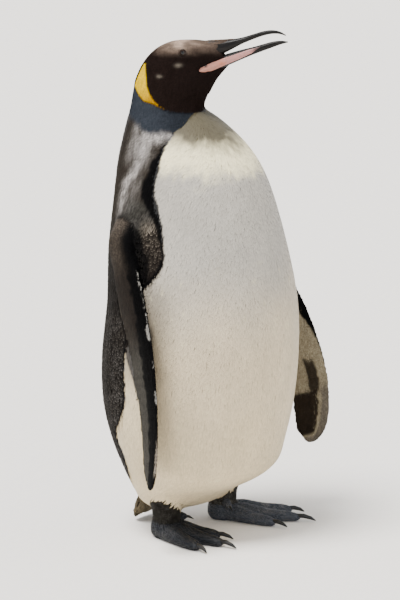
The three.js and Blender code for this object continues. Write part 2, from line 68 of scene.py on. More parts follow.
def hue(code: str) -> Array:
    """A dataclass field that holds the linear colour of a hex code."""
    return field(default_factory=lambda: linear(code))


def ramp(value: Array, low: float, high: float) -> Array:
    """Smooth step from 0 at low to 1 at high."""
    share = np.clip((value - low) / (high - low), 0, 1)
    return share * share * (3 - 2 * share)


def fall(value: Array, start: float, end: float) -> Array:
    """Smooth step from 1 at start to 0 at end."""
    return ramp(end - value, 0, end - start)


def window(value: Array, rise: Span, fade: Span) -> Array:
    """From 0 up to 1 over the first span, and back to 0 over the second."""
    return ramp(value, *rise) * fall(value, *fade)


def hump(value: Array, middle: Array | float, width: float) -> Array:
    """A bell that is 1 at its middle."""
    return np.exp(-((value - middle) / width) ** 2)


def mix(first: Array, second: Array, share: Array) -> Array:
    """First colour turning into the second by share, row by row."""
    share = np.asarray(share)[:, None]
    return first * (1 - share) + second * share


def unit(rows: Array) -> Array:
    """Rows made one long."""
    return rows / np.maximum(np.linalg.norm(rows, axis=-1, keepdims=True), 1e-12)


def lumps(points: Array, size: float, seed: int) -> Array:
    """Smooth noise from 0 to 1 whose lumps are about one size across.

    Args:
        points: Rows of three numbers.
        size: Spacing of the lumps, in the points' own unit.
        seed: Picks one pattern.

    Returns:
        One value for each row.
    """
    grid = points / size
    base = np.floor(grid).astype(np.int64)
    part = grid - base
    part = part * part * (3 - 2 * part)
    total = np.zeros(len(points))
    for corner in range(8):
        offset = np.array([(corner >> axis) & 1 for axis in range(3)])
        cell = base + offset
        key = cell[:, 0] * 73856093 ^ cell[:, 1] * 19349663 ^ cell[:, 2] * 83492791 ^ seed * 7919
        key = (key ^ (key >> 13)) * 1274126177
        value = ((key ^ (key >> 16)) & 0xFFFF) / 65535
        total += value * np.prod(np.where(offset, part, 1 - part), axis=1)
    return total


def uneven(points: Array, size: float, seed: int, reach: float) -> Array:
    """The same noise about 0, from lowest to highest as far as reach."""
    return (lumps(points, size, seed) - 0.5) * reach


@dataclass(frozen=True)
class Curve:
    """A value read off straight lines between known places."""

    places: tuple[float, ...]
    values: tuple[float, ...]

    def __call__(self, place: Array) -> Array:
        """Value at each place."""
        return np.interp(place, self.places, self.values)


# ---------------------------------------------------------------- the bird's own directions

@dataclass(frozen=True)
class Stance:
    """Where the bird stands and how far its head is turned, in millimetres and degrees."""

    shift: Span = (15.5513, -1.375)
    neck_axis: float = -66.0
    head_turn: float = 27.0
    turned_share: Curve = Curve((526, 578, 615, 642, 657.5, 664.5, 676, 692), (0, 0.08, 0.2, 0.4, 0.65, 0.85, 0.95, 1))

    def bird(self, points: Array) -> Array:
        """Points of the row frame as bird millimetres, its left along x and its back along y."""
        return points / MM + np.array([*self.shift, 0.0])

    def row(self, places: Array) -> Array:
        """Places in bird millimetres as points of the row frame."""
        return (places - np.array([*self.shift, 0.0])) * MM

    def turn(self, up: Array) -> Array:
        """Angle by which the body is turned at a height."""
        return np.radians(self.head_turn) * self.turned_share(up)

    def local(self, points: Array) -> Array:
        """Undoes the head's turn.

        Args:
            points: Rows of the row frame.

        Returns:
            Side, forward and up of each, in millimetres.
        """
        x, y, up = self.bird(points).T
        angle = self.turn(up)
        away = y + self.neck_axis
        side = x * np.cos(angle) + away * np.sin(angle)
        ahead = x * np.sin(angle) - away * np.cos(angle)
        return np.stack([side, ahead + self.neck_axis, up], 1)

    def world_direction(self, rows: Array, up: Array) -> Array:
        """Turns directions with the head.

        Args:
            rows: Directions as side, forward and up.
            up: Heights at which they stand.

        Returns:
            The directions in the row frame.
        """
        angle = self.turn(up)
        side, ahead, rise = rows.T
        x = side * np.cos(angle) + ahead * np.sin(angle)
        y = side * np.sin(angle) - ahead * np.cos(angle)
        return np.stack([x, y, rise], 1)

    def on_head(self, side: float, forward: float, up: float) -> Vector:
        """Point of the row frame at a place on the turned head.

        Args:
            side: Millimetres to the bird's left.
            forward: Millimetres ahead.
            up: Millimetres over the floor.

        Returns:
            The point.
        """
        angle = math.radians(self.head_turn)
        ahead = forward - self.neck_axis
        x = side * math.cos(angle) + ahead * math.sin(angle) - self.shift[0]
        y = side * math.sin(angle) - ahead * math.cos(angle) - self.neck_axis - self.shift[1]
        return Vector((x, y, up)) * MM


STANCE = Stance()


class Part(Enum):
    """Parts of the body that feather differently."""

    TRUNK = 0
    NECK = 1
    HEAD = 2
    FLIPPER_RIGHT = 3
    FLIPPER_LEFT = 4
    LEG = 5
    FOOT = 6
    TAIL = 7
    CORE = 8


def on_parts(parts: Array, *which: Part) -> Array:
    """True where the number of a part is that of one of some parts."""
    return np.isin(parts, [part.value for part in which])


SKIN_NODES: dict[str, Part] = {
    "trunk": Part.TRUNK, "neck": Part.NECK, "head": Part.HEAD, "tail": Part.TAIL,
    "flipper_right": Part.FLIPPER_RIGHT, "flipper_left": Part.FLIPPER_LEFT,
    "leg_right": Part.LEG, "leg_left": Part.LEG, "foot_right": Part.FOOT, "foot_left": Part.FOOT,
}
SIDES = ("right", "left")
TOES = ("inner", "middle", "outer", "hind")
CLAW_NODES = [f"claw_{side}_{toe}" for side in SIDES for toe in TOES]
BILL_NODES = ["bill_upper", "bill_lower", "bill_plate_right", "bill_plate_left"]


@dataclass(frozen=True)
class FlipperLine:
    """The line down the middle of one flipper, in bird millimetres."""

    side: int
    root: Triple
    tip: Triple
    twist: Span = (18.0, 34.0)
    bow: Curve = Curve((0, 0.12, 0.25, 0.45, 0.62, 0.75, 0.86, 0.93, 0.97, 0.99, 1),
                       (0, 7, 15, 29, 35, 33, 25, 16, 9, 4, 0))
    chord: Curve = Curve((0, 0.12, 0.25, 0.45, 0.62, 0.75, 0.86, 0.93, 0.97, 0.99, 1),
                         (56, 67, 73, 75, 70, 66, 61, 54, 42, 27, 8))
    least_chord: float = 20.0

    def span(self) -> Array:
        """Direction from root to tip, as one row."""
        return unit(np.subtract(self.tip, self.root)[None])

    def chord_line(self, share: Array) -> Array:
        """Directions from the trailing to the leading edge at shares of the span."""
        angle = np.radians(self.twist[0] + (self.twist[1] - self.twist[0]) * share)
        across = np.stack([self.side * np.sin(angle), -np.cos(angle), np.zeros_like(angle)], 1)
        return unit(across - (across @ self.span().T) * self.span())

    def read(self, points: Array) -> tuple[Array, Array, Array]:
        """Where points lie on the flipper.

        Args:
            points: Rows in bird millimetres.

        Returns:
            Share of the span, place across from -1 at the trailing edge to 1 at the leading edge,
            and the outward direction at each.
        """
        root, along = np.array(self.root), np.subtract(self.tip, self.root)
        share = np.clip((points - root) @ along / (along @ along), 0, 1)
        line = self.chord_line(share)
        centre = root + along * share[:, None] + line * self.bow(share)[:, None]
        half = np.maximum(self.chord(share), self.least_chord) / 2
        across = ((points - centre) * line).sum(1) / half
        outward = -self.side * np.cross(self.span(), line)
        return share, across, unit(outward)


FLIPPER_LINES = {
    Part.FLIPPER_RIGHT: FlipperLine(-1, (-130, 60, 478), (-169, -21, 106)),
    Part.FLIPPER_LEFT: FlipperLine(1, (135, 28, 478), (205, -62, 105)),
}


# ---------------------------------------------------------------- markings

@dataclass(frozen=True)
class Palette:
    """Colours of the plumage."""

    # painted shade: the white belly darkened and warmed to stand for shade with a warm bounce
    belly: Array = hue("c8b89e")
    cream: Array = hue("fcf0c4")
    # painted shadow: olive grey standing for the head's shadow on the throat
    throat_shadow: Array = hue("423b2b")
    shaded: Array = hue("a3a099")
    black: Array = hue("060607")
    head: Array = hue("1c1513")
    # painted light: the colour of the sunlit sheen on the crown and of the glint over the eye
    crown: Array = hue("a18b7b")
    silver: Array = hue("9a9591")
    bark: Array = hue("38322c")
    slate: Array = hue("212429")
    umber: Array = hue("120f0d")
    scale: Array = hue("857c70")
    yellow: Array = field(default_factory=lambda: np.array([0.72, 0.46, 0.0003]))
    orange: Array = field(default_factory=lambda: np.array([0.40, 0.20, 0.0003]))
    inner: Array = hue("908670")
    blot: Array = hue("241e18")
    ash: Array = hue("4a4843")
    tail: Array = hue("80755f")
    hide: Array = hue("36393f")
    dust: Array = hue("6f6d6b")


COLOUR = Palette()


@dataclass
class Plumage:
    """Colours at the roots and at the tips of feathers, on which markings are laid one over another."""

    base: Array
    tip: Array

    def lay(self, share: Array, tip: Array, base: Array) -> None:
        """Lays one colour over the tips and one over the roots, by share."""
        self.tip, self.base = mix(self.tip, tip, share), mix(self.base, base, share)

    def put(self, where: Array, tip: Array, base: Array) -> None:
        """Gives some feathers other colours."""
        self.tip[where], self.base[where] = tip, base


@dataclass(frozen=True)
class Markings:
    """Borders of the markings: angles are from the front round to the back, heights are up from the floor."""

    centre: Curve = Curve((0, 38, 71, 89, 113, 208, 367, 446, 526, 578, 615, 642, 658, 665, 692, 723, 780),
                          (-34, -34, -28, -15, -2, -2, 5, -2, -10, -19, -30, -45, -54, -62, -56, -42, -30))
    border: Curve = Curve((60, 97, 135, 154, 165, 176, 200, 231, 307, 360, 409, 421, 443, 458, 481, 511, 525,
                           546, 568, 597, 619, 640, 646, 657, 665, 669),
                          (126, 115, 113.5, 117, 118, 116, 108, 103.5, 105.5, 101, 92, 87, 79.6, 78, 78, 79.7,
                           82.5, 86.5, 88.3, 85.8, 82, 69.3, 60, 45, 25, 0))
    front_top: Curve = Curve((0, 25, 45, 60, 70), (668, 665.5, 657.5, 646.5, 640))
    top_from: float = 655.0
    hood: Curve = Curve((0, 28, 76, 107, 133, 162, 180), (660, 662, 667, 676.5, 680.5, 696, 703))
    mantle: Curve = Curve((0, 69, 76, 96, 106, 124, 148, 180), (634, 636, 641, 638, 635, 645, 652, 656))
    comma: Curve = Curve((677, 681, 690, 703, 719, 734), (101, 110, 123, 137, 148, 160))
    comma_rear: float = 167.0
    comma_top: float = 735.0

    def ahead(self, local: Array) -> Array:
        """Millimetres by which points lie before the body's middle at their height."""
        return local[:, 1] - self.centre(local[:, 2])

    def angle(self, local: Array) -> Array:
        """Degrees from the front round either side to the back."""
        return np.degrees(np.arctan2(np.abs(local[:, 0]), self.ahead(local)))

    def radius(self, local: Array) -> Array:
        """Millimetres from the body's middle at each point's height."""
        return np.hypot(local[:, 0], self.ahead(local))

    def beyond_border(self, local: Array) -> Array:
        """How far behind the edge of the white front points lie.

        Args:
            local: Side, forward and up of the points.

        Returns:
            Millimetres, less than 0 on the white.
        """
        angle, up = self.angle(local), local[:, 2]
        around = np.radians(angle - self.border(up)) * self.radius(local)
        above = np.where(up > self.top_from, up - self.front_top(angle), -1e3)
        return np.maximum(around, above)


MARKINGS = Markings()


@dataclass(frozen=True)
class FrontPaint:
    """White belly and cream chest, by height, with painted light and shade: a darkened belly, a grey band of painted
    shade, the head's painted shadow in olive over the throat, a warm painted bounce low down and the flippers' painted
    shadow at the sides.
    """

    # painted shade: heights of the grey band of painted shade under the cream chest
    shaded: Span = (290, 470)
    chest: Span = (564, 600)
    # painted shadow: heights over which the head's shadow is painted on the throat
    throat_shadow: Span = (612, 640)
    # painted light: heights and tint of a warm bounce light painted low on the belly
    warm_bounce: Span = (100, 470)
    warm_bounce_tint: Triple = (0.68, 0.62, 0.54)
    # painted shadow: angles and heights of the flippers' shadow painted on the belly's sides
    flipper_shadow_angles: Span = (66, 84)
    flipper_shadow_heights: Window = ((240, 290), (390, 440))
    soil: Span = (0.82, 0.93)
    soil_heights: Span = (400, 480)

    def colour(self, local: Array) -> Array:
        """Colour of the front.

        Args:
            local: Side, forward and up of points.

        Returns:
            A linear colour for each.
        """
        up = local[:, 2]
        cloud = uneven(local, 60, 15, 90)
        drips = uneven(local * np.array([1, 1, 0.4]), 7, 9, 22) + uneven(local, 30, 11, 16)
        # painted shade: grey over the upper belly under the chest
        front = mix(COLOUR.belly, COLOUR.shaded, ramp(up + cloud, *self.shaded) * 0.85)
        front = mix(front, COLOUR.cream, ramp(up + drips, *self.chest))
        # painted shadow of the head on the throat, in olive grey
        front = mix(front, COLOUR.throat_shadow, ramp(up + 0.15 * local[:, 1] + drips * 0.5, *self.throat_shadow) * 0.95)
        # painted light: a warm bounce light low on the belly
        front = mix(front, COLOUR.cream * np.array(self.warm_bounce_tint), 0.5 * fall(up - cloud, *self.warm_bounce))
        # painted shadow of the flippers on the belly's sides
        side = ramp(MARKINGS.angle(local), *self.flipper_shadow_angles) * window(up, *self.flipper_shadow_heights)
        front = front * (1 - 0.4 * side)[:, None]
        soiled = ramp(lumps(local, 9, 21), *self.soil) * fall(up, *self.soil_heights)
        return mix(front, COLOUR.cream * 0.72, soiled * 0.35)


FRONT = FrontPaint()


@dataclass(frozen=True)
class BackPaint:
    """Mantle, flank and the black band along the white front, with painted sunlight on the shoulder and painted shade
    in the hollows under the flipper's root: curves and spans are heights or angles.
    """

    cape_heights: Span = (455, 545)
    # painted light: heights and angles of the sunlit shoulder, the lit strip under the neck band and the highlight
    # along the shoulder's ridge
    lit_shoulder_heights: Span = (574, 610)
    lit_shoulder_angles: Span = (108, 124)
    lit_under_neck: Span = (106, 118)
    ridge_highlight: Curve = Curve((515, 545, 565, 580, 596), (124, 124, 120, 114, 110))
    ridge_highlight_heights: Window = ((480, 530), (592, 606))
    sheen_heights: Span = (500, 545)
    sheen_angles: Window = ((98, 110), (118, 130))
    shade_heights: Span = (528, 548)
    shade_angles: Span = (112, 124)
    nape_angles: Span = (142, 165)
    rear_angles: Span = (138, 166)
    flank_heights: Span = (345, 372)
    flank_angles: Span = (108, 124)
    patch_heights: Window = ((418, 425), (495, 520))
    patch_angles: Span = (93, 101)
    # partly painted sheen: the scale patch brightens upwards by height
    patch_sheen: Curve = Curve((420, 440, 455, 470, 486, 512), (0.12, 0.34, 0.52, 0.72, 0.85, 0.75))
    band_width: Curve = Curve((97, 300, 420, 470, 515, 545, 562, 578, 596, 612, 640),
                              (3, 3, 8, 2, 14, 27, 24, 16, 14, 5, 0))
    # painted shade: places of the armpit and the hollow under the flipper's root
    armpit_shade_heights: Window = ((405, 425), (455, 475))
    armpit_shade_angles: Window = ((88, 91), (97, 101))
    hollow_shade_roof: Curve = Curve((92, 94, 96, 99, 104, 110, 118), (440, 468, 485, 496, 504, 511, 514))
    hollow_shade_heights: Span = (415, 430)
    hollow_shade_angles: Window = ((91, 93), (116, 128))

    def cape(self, local: Array, angle: Array) -> Array:
        """Share of the mantle's feathering over the flank's, from 0 to 1."""
        return ramp(local[:, 2] + 0.2 * (angle - 100) + uneven(local, 20, 45, 30), *self.cape_heights)

    def streaks(self, local: Array, angle: Array) -> Array:
        """Fine slanting streaks.

        Args:
            local: Side, forward and up of points.
            angle: Their degrees from the front.

        Returns:
            A share for each, from 0 to 1.
        """
        up = local[:, 2]
        around = np.radians(angle) * MARKINGS.radius(local)
        slant = np.stack([around + 0.8 * up, 0.22 * (0.8 * around - up), np.sign(local[:, 0])], 1)
        return lumps(slant, 3.2, 31) * 0.65 + lumps(local, 11, 33) * 0.35

    def pale(self, up: Array, angle: Array) -> Array:
        """How much silver shows on the shoulder: partly the mantle's silver plumage, partly painted sunlight as a lit
        shoulder, a lit strip under the neck band, a painted highlight along the shoulder's ridge and a painted sheen.

        Args:
            up: Heights.
            angle: Degrees from the front.

        Returns:
            A share for each.
        """
        first, second = self.lit_shoulder_angles
        # painted sunlight on the silver plumage: lit shoulder, lit strip under the neck band, ridge highlight and sheen
        upper = (0.8 * hump(angle, first, 9) + 0.42 * hump(angle, second, 9)) * ramp(up, *self.lit_shoulder_heights)
        lit_under_neck = hump(MARKINGS.mantle(angle) - up, 7, 9) * fall(angle, *self.lit_under_neck)
        ridge_highlight = 0.85 * hump(angle, self.ridge_highlight(up), 6.5) * window(up, *self.ridge_highlight_heights)
        sheen = 0.2 * ramp(up + 0.8 * (angle - 115), *self.sheen_heights) * window(angle, *self.sheen_angles)
        return np.maximum.reduce([upper, lit_under_neck, ridge_highlight, sheen])

    def black(self, up: Array, angle: Array, behind: Array) -> Array:
        """Share of black: the band along the white, and painted shade as black in the armpit and the hollows under the
        flipper's root.

        Args:
            up: Heights.
            angle: Degrees from the front.
            behind: Millimetres behind the white's edge.

        Returns:
            A share for each.
        """
        band = ramp(behind, 0, 2) * ramp(self.band_width(up) + 6 - behind, 0, 7)
        # painted shade, as black, in the armpit and the hollow under the flipper's root
        armpit_shade = window(up, *self.armpit_shade_heights) * window(angle, *self.armpit_shade_angles)
        hollow_shade = ramp(self.hollow_shade_roof(angle) - up, -4, 5) * ramp(up, *self.hollow_shade_heights)
        hollow_shade = hollow_shade * window(angle, *self.hollow_shade_angles)
        return np.maximum(band * 0.97, np.maximum(armpit_shade, hollow_shade) * 0.85)

    def colours(self, local: Array, angle: Array, behind: Array) -> Plumage:
        """Colours of the back.

        Args:
            local: Side, forward and up of points.
            angle: Their degrees from the front.
            behind: Their millimetres behind the white's edge.

        Returns:
            Root and tip colours.
        """
        up = local[:, 2]
        streak = self.streaks(local, angle)
        shade = fall(up, *self.shade_heights) * fall(angle, *self.shade_angles)
        mantle = mix(COLOUR.bark * 0.8, COLOUR.ash * 0.55, shade)
        # silver plumage shown where painted sunlight falls on the shoulder
        silver = np.clip(self.pale(up, angle) * (2.6 * streak - 0.25), 0, 1.3)
        mantle = mix(mantle, COLOUR.silver * 1.15, silver)
        nape = mix(COLOUR.slate * 1.8, COLOUR.silver, 0.14 + 0.3 * streak)
        mantle = mix(mantle, nape, ramp(angle, *self.nape_angles))
        flank = mix(COLOUR.scale * 0.35, COLOUR.silver * 0.85, lumps(local, 12, 41))
        flank_light = (0.8 - 0.5 * ramp(up, *self.flank_heights)) * (1.15 - 0.3 * ramp(angle, *self.flank_angles))
        slaty = mix(COLOUR.slate * 1.9, COLOUR.silver * 0.8, 0.2 + 0.5 * lumps(local, 9, 43))
        rear = ramp(angle, *self.rear_angles)
        coat = Plumage(mix(COLOUR.umber, nape * 0.75, rear), mix(flank * flank_light[:, None], slaty, rear))
        coat.lay(self.cape(local, angle), mantle, mantle * 0.45)
        # scale pattern with painted sheen that grows brighter upwards
        glow = self.patch_sheen(up) * (0.4 + 1.2 * lumps(local, 5, 47))
        patch = window(up, *self.patch_heights) * fall(angle, *self.patch_angles)
        coat.lay(patch, COLOUR.scale * glow[:, None], COLOUR.umber * 2)
        # black band along the white, and black painted shade in the armpit and hollows
        coat.lay(self.black(up, angle, behind), COLOUR.black, COLOUR.black)
        return coat


BACK = BackPaint()


@dataclass(frozen=True)
class HeadPaint:
    """Slate neck band with painted shadow of the head, brown head with a painted sunlit sheen on the crown and a
    painted glint over the eye, and the gold comma behind the ear.
    """

    edge: Span = (-0.3, 0.8)
    white_edge: Span = (-0.5, 1)
    # painted light: heights over which the crown's sunlit sheen is painted
    crown: Span = (746, 771)
    crown_sheen_front: Span = (-24, 0)
    brow_glint: tuple[Span, Span] = ((-41, 8), (766, 4))     # middle and width, ahead and up
    spots: tuple[Triple, ...] = ((-40.0, 736.4, 5.2), (-69.2, 719.2, 4.2))
    gold: Span = (672, 700)
    comma_tail: Window = ((78, 96), (112, 118))

    def bare_head(self, local: Array, angle: Array) -> Array:
        """Colour of the head without its comma, with the crown's painted sunlit sheen and a painted glint over the eye.

        Args:
            local: Side, forward and up of points.
            angle: Their degrees from the front.

        Returns:
            A linear colour for each.
        """
        _, forward, up = local.T
        # painted sunlit sheen on the crown, weaker towards the bill
        crown_sheen = ramp(up, *self.crown) * (0.15 + 0.95 * lumps(local * np.array([1, 0.3, 1]), 5, 61))
        crown_sheen = crown_sheen * (1 - 0.55 * ramp(forward, *self.crown_sheen_front))
        # painted glint over the eye
        brow_glint = hump(forward, *self.brow_glint[0]) * hump(up, *self.brow_glint[1]) * 1.1
        spots = sum(hump(forward, place, size) * hump(up, height, size / 1.7) for place, height, size in self.spots)
        colour = mix(COLOUR.head, COLOUR.crown, np.clip(crown_sheen + brow_glint, 0, 1.3))
        return mix(colour, COLOUR.scale * 0.8, np.clip(spots * 0.65 * ramp(angle, 40, 60), 0, 1))

    def inside_comma(self, up: Array, angle: Array) -> Array:
        """Millimetres inside the comma's edge, less than 0 outside it."""
        return np.minimum.reduce([(angle - MARKINGS.comma(up)) * 0.75 + 0.8, up - MARKINGS.hood(angle) + 0.3,
                                  (MARKINGS.comma_rear - angle) * 0.75, MARKINGS.comma_top - up])

    def lay_on(self, coat: Plumage, local: Array, angle: Array, behind: Array) -> None:
        """Lays the neck's band, the hood and the comma over a coat; the band is partly slate plumage and partly painted
        shadow of the head.

        Args:
            coat: Colours so far.
            local: Side, forward and up of points.
            angle: Their degrees from the front.
            behind: Their millimetres behind the white's edge.
        """
        up = local[:, 2]
        edge = MARKINGS.hood(angle)
        above = up - edge + uneven(local, 4, 51, 1.2)
        off_white = ramp(behind, *self.white_edge)
        # painted shadow: the slate band is darkest towards the front, where the head's shadow falls on the neck
        slate = mix(COLOUR.slate * 1.15, COLOUR.slate * 2.0, ramp(angle, 60, 120))
        band = ramp(up - MARKINGS.mantle(angle) + uneven(local, 6, 53, 5), -6, 4) * off_white
        coat.lay(band, slate, slate * 0.8)
        coat.tip = mix(coat.tip, COLOUR.black, hump(above, -0.8, 1.3) * off_white * 0.75)
        head = self.bare_head(local, angle)
        coat.lay(ramp(above, *self.edge), head, head * 0.7)
        inside = self.inside_comma(up, angle)
        ripe = ramp(up + uneven(local, 8, 73, 10) - 0.25 * (150 - angle), *self.gold)
        gold = mix(COLOUR.orange, COLOUR.yellow, ripe) * (0.3 + 0.7 * ramp(inside, 0, 2.4))[:, None]
        coat.lay(ramp(inside + uneven(local, 3, 71, 0.6), -0.3, 0.4), gold, gold * 0.75)
        tail = ramp(1.0 - np.abs(up - edge - 0.2), 0, 0.5) * window(angle, *self.comma_tail)
        coat.tip = mix(coat.tip, COLOUR.orange * 0.35, tail * 0.9)


HEAD = HeadPaint()


@dataclass(frozen=True)
class FlipperPaint:
    """The flippers, dark outside with a broken pale trim, a painted sheen on the trailing part and painted shade as
    black on the leading part, and pale with dark blots inside.

    Spans and curves are shares of the flipper's length or width.
    """

    speckle: float = 2.0
    outer_facing: Span = (-0.15, 0.15)
    # painted shade: where the black of the shaded leading part begins across the outer face
    shaded_black_from: Curve = Curve((0, 0.3, 0.45, 1), (0.45, 0.3, 0.05, 0.0))
    trim_amount: Curve = Curve((0.03, 0.06, 0.15, 0.27, 0.34, 0.37, 0.405, 0.42, 0.485, 0.495, 0.515, 0.525,
                                0.605, 0.62, 0.66, 0.67),
                               (0.0, 0.5, 0.55, 0.6, 0.62, 0.8, 0.75, 0.0, 0.0, 0.5, 0.5, 0.0, 0.0, 0.8, 0.8, 0.0))
    trim_from: Curve = Curve((0, 0.2, 0.34, 0.37, 0.405, 0.42, 0.5, 0.6, 0.64, 0.7, 1),
                             (0.98, 0.96, 0.94, 0.84, 0.84, 0.94, 0.92, 0.9, 0.84, 0.93, 0.93))
    tip_trim: Window = ((0.80, 0.85), (0.935, 0.965))
    lead_from: Curve = Curve((0, 0.40, 0.46, 0.51, 0.55, 0.60, 0.74, 0.76),
                             (0.55, 0.50, 0.62, 0.73, 0.83, 0.90, 0.94, 1.1))
    streak: Window = ((0.65, 0.675), (0.79, 0.82))
    blot: Window = ((0.775, 0.805), (0.965, 0.985))
    tuft: Window = ((0.69, 0.71), (0.765, 0.785))
    rim: Span = (0.76, 0.82)
    shoulder: Span = (0.04, 0.17)
    worn_and_top_lit_heights: Span = (502, 514)

    def outside(self, points: Array, share: Array, across: Array, spots: Array) -> Array:
        """Colour of the outer face, with a painted sheen in grey-brown over its trailing part and painted shade in
        black over its leading part.

        Args:
            points: Rows in bird millimetres.
            share: Their shares of the length.
            across: Their places across.
            spots: Fine noise at them.

        Returns:
            A linear colour for each.
        """
        # painted sheen: grey-brown over the outer face's trailing part
        sunlit_brown = ramp(share, 0.1, 0.7) * ramp(-across, -0.3, 0.7)
        colour = mix(COLOUR.umber * 3.2, COLOUR.scale * 0.32, sunlit_brown * (0.2 + 0.5 * lumps(points, 9, 83)))
        colour = mix(colour, COLOUR.ash, ramp(share, 0.35, 0.52) * 0.75)
        # painted shade: the leading part of the outer face turned black
        black = ramp(across - self.shaded_black_from(share) + uneven(points, 7, 84, 0.3), -0.05, 0.2)
        colour = mix(colour, COLOUR.black, black * 0.97)
        start = self.trim_from(share)
        trim = ramp(across + (spots - 0.5) * 0.16, start, start + 0.05)
        trim = trim * ramp(spots + self.trim_amount(share) * 0.8 - 0.4, 0.42, 0.56)
        colour = mix(colour, COLOUR.shaded * 0.72, trim)
        tip_trim = window(share, *self.tip_trim) * ramp(across + (spots - 0.5) * 0.15, 0.84, 0.90)
        colour = mix(colour, COLOUR.scale * 1.15, tip_trim * 0.9)
        hem = ramp(-across, 0.9, 0.97) * fall(share, 0.4, 0.55)
        return mix(colour, COLOUR.inner * 0.6, hem * 0.25)

    def inside(self, points: Array, share: Array, across: Array, spots: Array) -> Array:
        """Colour of the inner face.

        Args:
            points: Rows in bird millimetres.
            share: Their shares of the length.
            across: Their places across.
            spots: Fine noise at them.

        Returns:
            A linear colour for each.
        """
        wobble = uneven(points, 9, 89, 0.3) + (spots - 0.5) * 0.2
        ragged = share + wobble * 0.1
        colour = mix(COLOUR.inner, COLOUR.inner * 0.72, lumps(points, 18, 85))
        start = self.lead_from(share)
        colour = mix(colour, COLOUR.black, ramp(across + wobble * 0.25, start - 0.05, start + 0.05))
        streak = ramp(ragged, *self.streak[0]) * fall(share, *self.streak[1])
        streak = streak * ramp(0.30 - np.abs(across - 0.25) + wobble * 0.4, 0, 0.12)
        blot = ramp(ragged, *self.blot[0]) * fall(share, *self.blot[1])
        blot = blot * ramp(0.44 - across + wobble * 0.5, 0, 0.12)
        colour = mix(colour, COLOUR.blot, np.maximum(blot, streak * 0.95))
        tuft = window(share, *self.tuft) * ramp(-across, 0.0, 0.1)
        colour = mix(colour, COLOUR.inner * 0.8, tuft * 0.8)
        rim = ramp(np.maximum(across + wobble * 0.4 - 0.52, (share - 0.975) * 8), 0, 0.1) * ramp(share, *self.rim)
        return mix(colour, COLOUR.scale * (0.3 + 0.35 * spots)[:, None], rim * 0.9)

    def colours(self, points: Array, normals: Array, line: FlipperLine) -> Plumage:
        """Colours of one flipper, the back's own colours at its root, where worn brown feathers brighten upwards as
        painted light.

        Args:
            points: Rows in bird millimetres.
            normals: Outward directions.
            line: The flipper's line.

        Returns:
            Root and tip colours.
        """
        share, across, outward = line.read(points)
        spots = 0.6 * lumps(points, self.speckle, 81) + 0.4 * lumps(points, 3 * self.speckle, 82)
        tip = mix(self.inside(points, share, across, spots), self.outside(points, share, across, spots),
                  ramp((normals * outward).sum(1), *self.outer_facing))
        local = STANCE.local(STANCE.row(points))
        body = BACK.colours(local, MARKINGS.angle(local), np.full(len(local), 40.0))
        # painted light: the worn brown at the flipper's root brightens towards its top, with random spots
        spots_and_top_light = (0.9 + 1.5 * spots) * (1 + 0.9 * ramp(local[:, 2], 470, 510))
        worn_and_top_lit = mix(COLOUR.bark * spots_and_top_light[:, None], COLOUR.black, ramp(across + (spots - 0.5) * 0.15, 0.25, 0.85))
        body.tip = mix(body.tip, worn_and_top_lit, fall(local[:, 2], *self.worn_and_top_lit_heights))
        coat = Plumage(tip * 0.5, tip)
        coat.lay(1 - ramp(share + uneven(points, 12, 95, 0.05), *self.shoulder), body.tip, body.base)
        return coat


FLIPPER = FlipperPaint()


